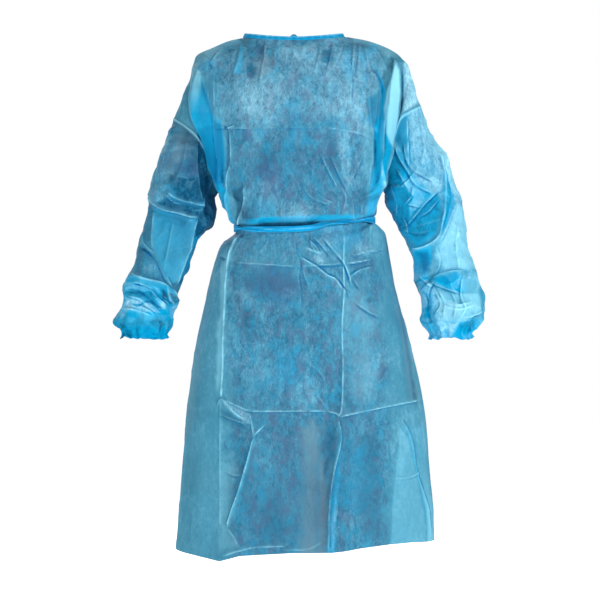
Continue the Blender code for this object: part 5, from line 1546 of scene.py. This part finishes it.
thick = STRAP_WALL + 1.2 + pucker * (1 - fold_over) * 0.5 - 1.7 * groove
# In its tones the dark line in the groove is painted shade and the pale line along the top edge a
# painted highlight.
binding = strap("neck_binding_strip", middle, up, outside, (BINDING_WIDTH - 1.5) / 2, thick,
                {"lying": 0.2, "bright": 0.25 + 0.45 * (fold_over < 0),
                 "pale": 0.3 * (fold_over > 0.1) - 0.1 + 0.2 * pucker,
                 "line": -0.5 * groove + 0.2 * (fold_over > 0.8)}, NECK_COLUMNS)
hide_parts("neck_binding")

# %% The belt
HALF_BELT, BELT_POINTS, BELT_COLUMNS = 120, 480, 40
u = even_places(-1, -450, -420, 2 * HALF_BELT)
front_edge, back_edge = (trunk_surface(u, way, np.array([float(BELT_UP)]))[0] for way in (-1, 1))
loop = np.vstack([back_edge[HALF_BELT:0:-1], front_edge, back_edge[-2:HALF_BELT - 1:-1]])
out = unit(loop * (0.8, 1.2, 0))
# It clears the cloth by 3.2 mm, and by a little more behind, where the panels lap.
under = PLY_GAP * np.clip((loop[:, 1] - 60) / 30, 0, 1)
loop = even_points(loop + out * (3.2 + under)[:, None], KNOTS["belt"][3] + SEAM_GAP, BELT_POINTS)
out = unit(loop * (0.8, 1.2, 0))
in_front = soft_step((-loop[:, 1] - 10) / 60)
# In front it is rolled narrower, pinched at the left, and rises under the bodice at the right.
pinch = np.exp(-(((loop[:, 0] + 132) / 16) ** 2)) * in_front
rise = 8 * soft_step((loop[:, 0] - 20) / 60) * soft_step((175 - loop[:, 0]) / 40) * in_front
sway = 1.2 * uneven(loop[:, 0], loop[:, 1], 60, 111) * in_front
loop[:, 2] += rise + sway
half = (BELT_WIDTH / 2 - 2.4 * in_front - 3 * pinch)[:, None]
along = (np.arange(BELT_POINTS) * 1.74)[:, None]        # millimetres along the belt
angle = once_round(BELT_COLUMNS)[None, :]
level = np.cos(angle)
twist = 2.2 * uneven(along, along * 0, 60, 112) + along / 90
ridges = 0.5 * np.sin(level * 6 + twist * 2) + 0.4 * np.sin(level * 11 - twist * 3)
pulled = 0.5 * uneven(along, level * 20, 9, 113)
thick = STRAP_WALL + 0.9 + (ridges + pulled) * (np.sin(angle) > 0) + 1.2 * pinch[:, None]
up = np.tile([0.0, 0, 1], (BELT_POINTS, 1))
# Its tones paint light on the ridges: paler on their tops, a painted highlight, and darker in the
# hollows between them, painted shade.
belt = strap("belt_strip", loop, up, out, half, thick,
             {"lying": 0.25, "bright": 0.85 + 0.2 * ridges, "pale": 0.12 * np.clip(ridges, 0, 1),
              "line": -0.45 * np.clip(-ridges, 0, 1) + 0.4 * np.clip(ridges - 0.35, 0, 1)},
             BELT_COLUMNS)
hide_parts("belt")

# %% The knots
def knot(name, columns=72, rows=40):
    """Ellipsoid with the strip's turns round it as grooves: its radius is
    0.93 + 0.07 cos(3p + 2.2 sin t + 1.2), where t goes round the knot and p up it, less a bell
    curve where the turns cross."""
    x, y, z, wide, deep, high = KNOTS[name]
    t = once_round(columns)[None, :]
    p = np.linspace(-math.pi / 2, math.pi / 2, rows)[:, None]
    turns = np.cos(3 * p + 2.2 * np.sin(t) + 1.2)
    radius = 0.93 + 0.07 * turns - 0.1 * np.exp(-((np.sin(t + p * 0.7)) / 0.3) ** 2) * np.cos(p)
    grid = np.stack([x + wide * radius * np.cos(p) * np.cos(t),
                     y + deep * radius * np.cos(p) * np.sin(t),
                     z + high * radius * np.sin(p) + 0 * t], axis=-1)
    # Painted light: the raised turns are paler and bluer, and the grooves between them darker with
    # painted shade.
    tones = {"lying": 0.3 + 0 * grid[..., 0], "bright": 0.5 + 0.3 * turns, "pale": 0.2 * turns,
             "line": -0.5 * np.clip(-turns - 0.4, 0, 1)}
    piece = sheet_mesh(name + "_knot_tied", grid, trim, tones, closed=True)
    close_ends(piece)
    declare(piece, name + "_knot")
    return piece


knots = {name: knot(name) for name in KNOTS}

# %% The four hanging ends
# From the trunk's surface to the middle of a tie.
TAIL_LIFT = HALF_CLOTH + PLY_GAP + STRAP_WALL / 2 + SEAM_GAP + 1
TAIL_POINTS, TAIL_COLUMNS = 130, 28


def tail(name, route, seed):
    """A strip down the back, a little way off it, that wavers and turns as it hangs."""
    back = trunk_surface(np.linspace(0.3, 0.7, 61), 1, np.linspace(HEM_Z, 0, 260)).reshape(-1, 3)
    places = np.array(route, float)
    line = smooth(np.arange(len(places)), places, np.linspace(0, len(places) - 1, TAIL_POINTS))
    depth = []
    for edge in (-BELT_WIDTH / 2, BELT_WIDTH / 2):
        far = np.hypot(back[:, 0] - line[:, :1] - edge, back[:, 2] - line[:, 1:])
        depth.append(back[far.argmin(axis=1), 1])
    # The mean of nine neighbours, so that the strip doesn't follow every fold.
    depth = np.convolve(np.pad(np.max(depth, axis=0), 4, mode="edge"), np.ones(9) / 9, "valid")
    path = np.stack([line[:, 0], depth + TAIL_LIFT + 0.6, line[:, 1]], axis=1)
    t = np.linspace(0, 1, TAIL_POINTS)
    turn = 0.35 * uneven(t * 100, t * 0, 26, seed) * t
    across = unit(np.stack([np.cos(turn), np.sin(turn) * 0.5, 0 * t], axis=1))
    out = unit(np.cross(np.gradient(path, axis=0), across))
    out *= np.where(out[:, 1:2] < 0, -1, 1)
    half = (BELT_WIDTH / 2 - 0.6 - 2.6 * np.exp(-t * 14))[:, None]
    level = np.cos(once_round(TAIL_COLUMNS))[None, :]
    stitch = np.exp(-(((level - 0.62) / 0.1) ** 2))     # a sewn line beside one edge
    wrinkle = uneven(t[:, None] * 240, level * 12, 9, seed + 1)
    thick = STRAP_WALL - 0.4 - 0.7 * stitch + 0.35 * wrinkle
    return strap(name + "_strip", path, across, out, half, thick,
                 {"lying": 0.35, "bright": 0.5 + 0.2 * wrinkle, "pale": 0.2 + 0.2 * wrinkle,
                  "line": -0.35 * stitch + 0.3 * (np.abs(level) > 0.93)}, TAIL_COLUMNS)


for seed, (name, route) in enumerate(TAILS.items()):
    tail(name, route, 120 + seed * 7)
    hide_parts(name)

# %% [markdown]
# ## The studio
# The gown hangs over a plain pale floor in a white room, lit by a large soft light on the right
# and a weaker one on the left, so that its right side is the paler one, and by a third behind it
# for its back. A wall behind it would hide it from the back, so the room's white is the world's:
# what is seen of it is white, and the light that it gives the cloth is dimmer.
# %% Floor
FLOOR = -1.42       # metres from the shoulders


def pale_floor(half=14):
    """One square face, large enough to reach the edge of any view."""
    mesh = bpy.data.meshes.new("pale_floor")
    mesh.from_pydata([(-half, -half, FLOOR), (half, -half, FLOOR), (half, half, FLOOR),
                      (-half, half, FLOOR)], [], [(0, 1, 2, 3)])
    piece = bpy.data.objects.new("pale_floor", mesh)
    bpy.context.scene.collection.objects.link(piece)
    return piece


paper = bpy.data.materials.new("matt_white_background_paper")
paper.use_nodes = True
settle(paper.node_tree.nodes["Principled BSDF"],
       {"Base Color": srgb("#f4f4f4"), "Roughness": 0.95, "Emission Color": (1, 1, 1, 1),
        "Emission Strength": 0.84})
floor = pale_floor()
floor.data.materials.append(paper)
print("floor at", FLOOR)

# %% Light
def soft_box(name, place, aim, size, watts):
    """A square area light that faces a point."""
    data = bpy.data.lights.new(name, "AREA")
    data.shape, data.size, data.energy = "SQUARE", size, watts
    lamp = bpy.data.objects.new(name, data)
    lamp.location = place
    lamp.rotation_euler = (Vector(aim) - Vector(place)).to_track_quat("-Z", "Y").to_euler()
    bpy.context.scene.collection.objects.link(lamp)
    return lamp


soft_box("key", (3.0, -3.3, 2.0), (0, 0, -0.55), 1.0, 178)
soft_box("fill", (-3.0, -3.6, -0.2), (0, 0, -0.6), 1.6, 59)
soft_box("behind", (-1.6, 3.6, 1.4), (0, 0, -0.55), 1.8, 110)
world = bpy.data.worlds.new("pale_room")
world.use_nodes = True
world.node_tree.nodes["Background"].inputs["Color"].default_value = (1, 1, 1, 1)
path = add(world.node_tree, "ShaderNodeLightPath")
strength = add(world.node_tree, "ShaderNodeMapRange",
               {0: path.outputs["Is Camera Ray"], 3: 0.22, 4: 1.0})
world.node_tree.links.new(strength.outputs[0],
                          world.node_tree.nodes["Background"].inputs["Strength"])
bpy.context.scene.world = world
bpy.context.scene.view_settings.view_transform = "Standard"
print("lights:", [light.name for light in bpy.data.lights])

# %% Camera
SENSOR = 36                             # millimetres
DISTANCE, VIEW_WIDTH = 7, 1.35          # metres
MIDDLE = -0.594                         # the height that it looks at
lens = bpy.data.cameras.new("camera")
lens.sensor_width, lens.lens = SENSOR, SENSOR * DISTANCE / VIEW_WIDTH
camera = bpy.data.objects.new("camera", lens)
camera.location, camera.rotation_euler = (0, -DISTANCE, MIDDLE), (math.pi / 2, 0, 0)
bpy.context.scene.collection.objects.link(camera)
bpy.context.scene.camera = camera
print("lens:", round(lens.lens, 1), "mm")

# %% [markdown]
# ## The end
# %% Finish
bpy.context.view_layer.update()
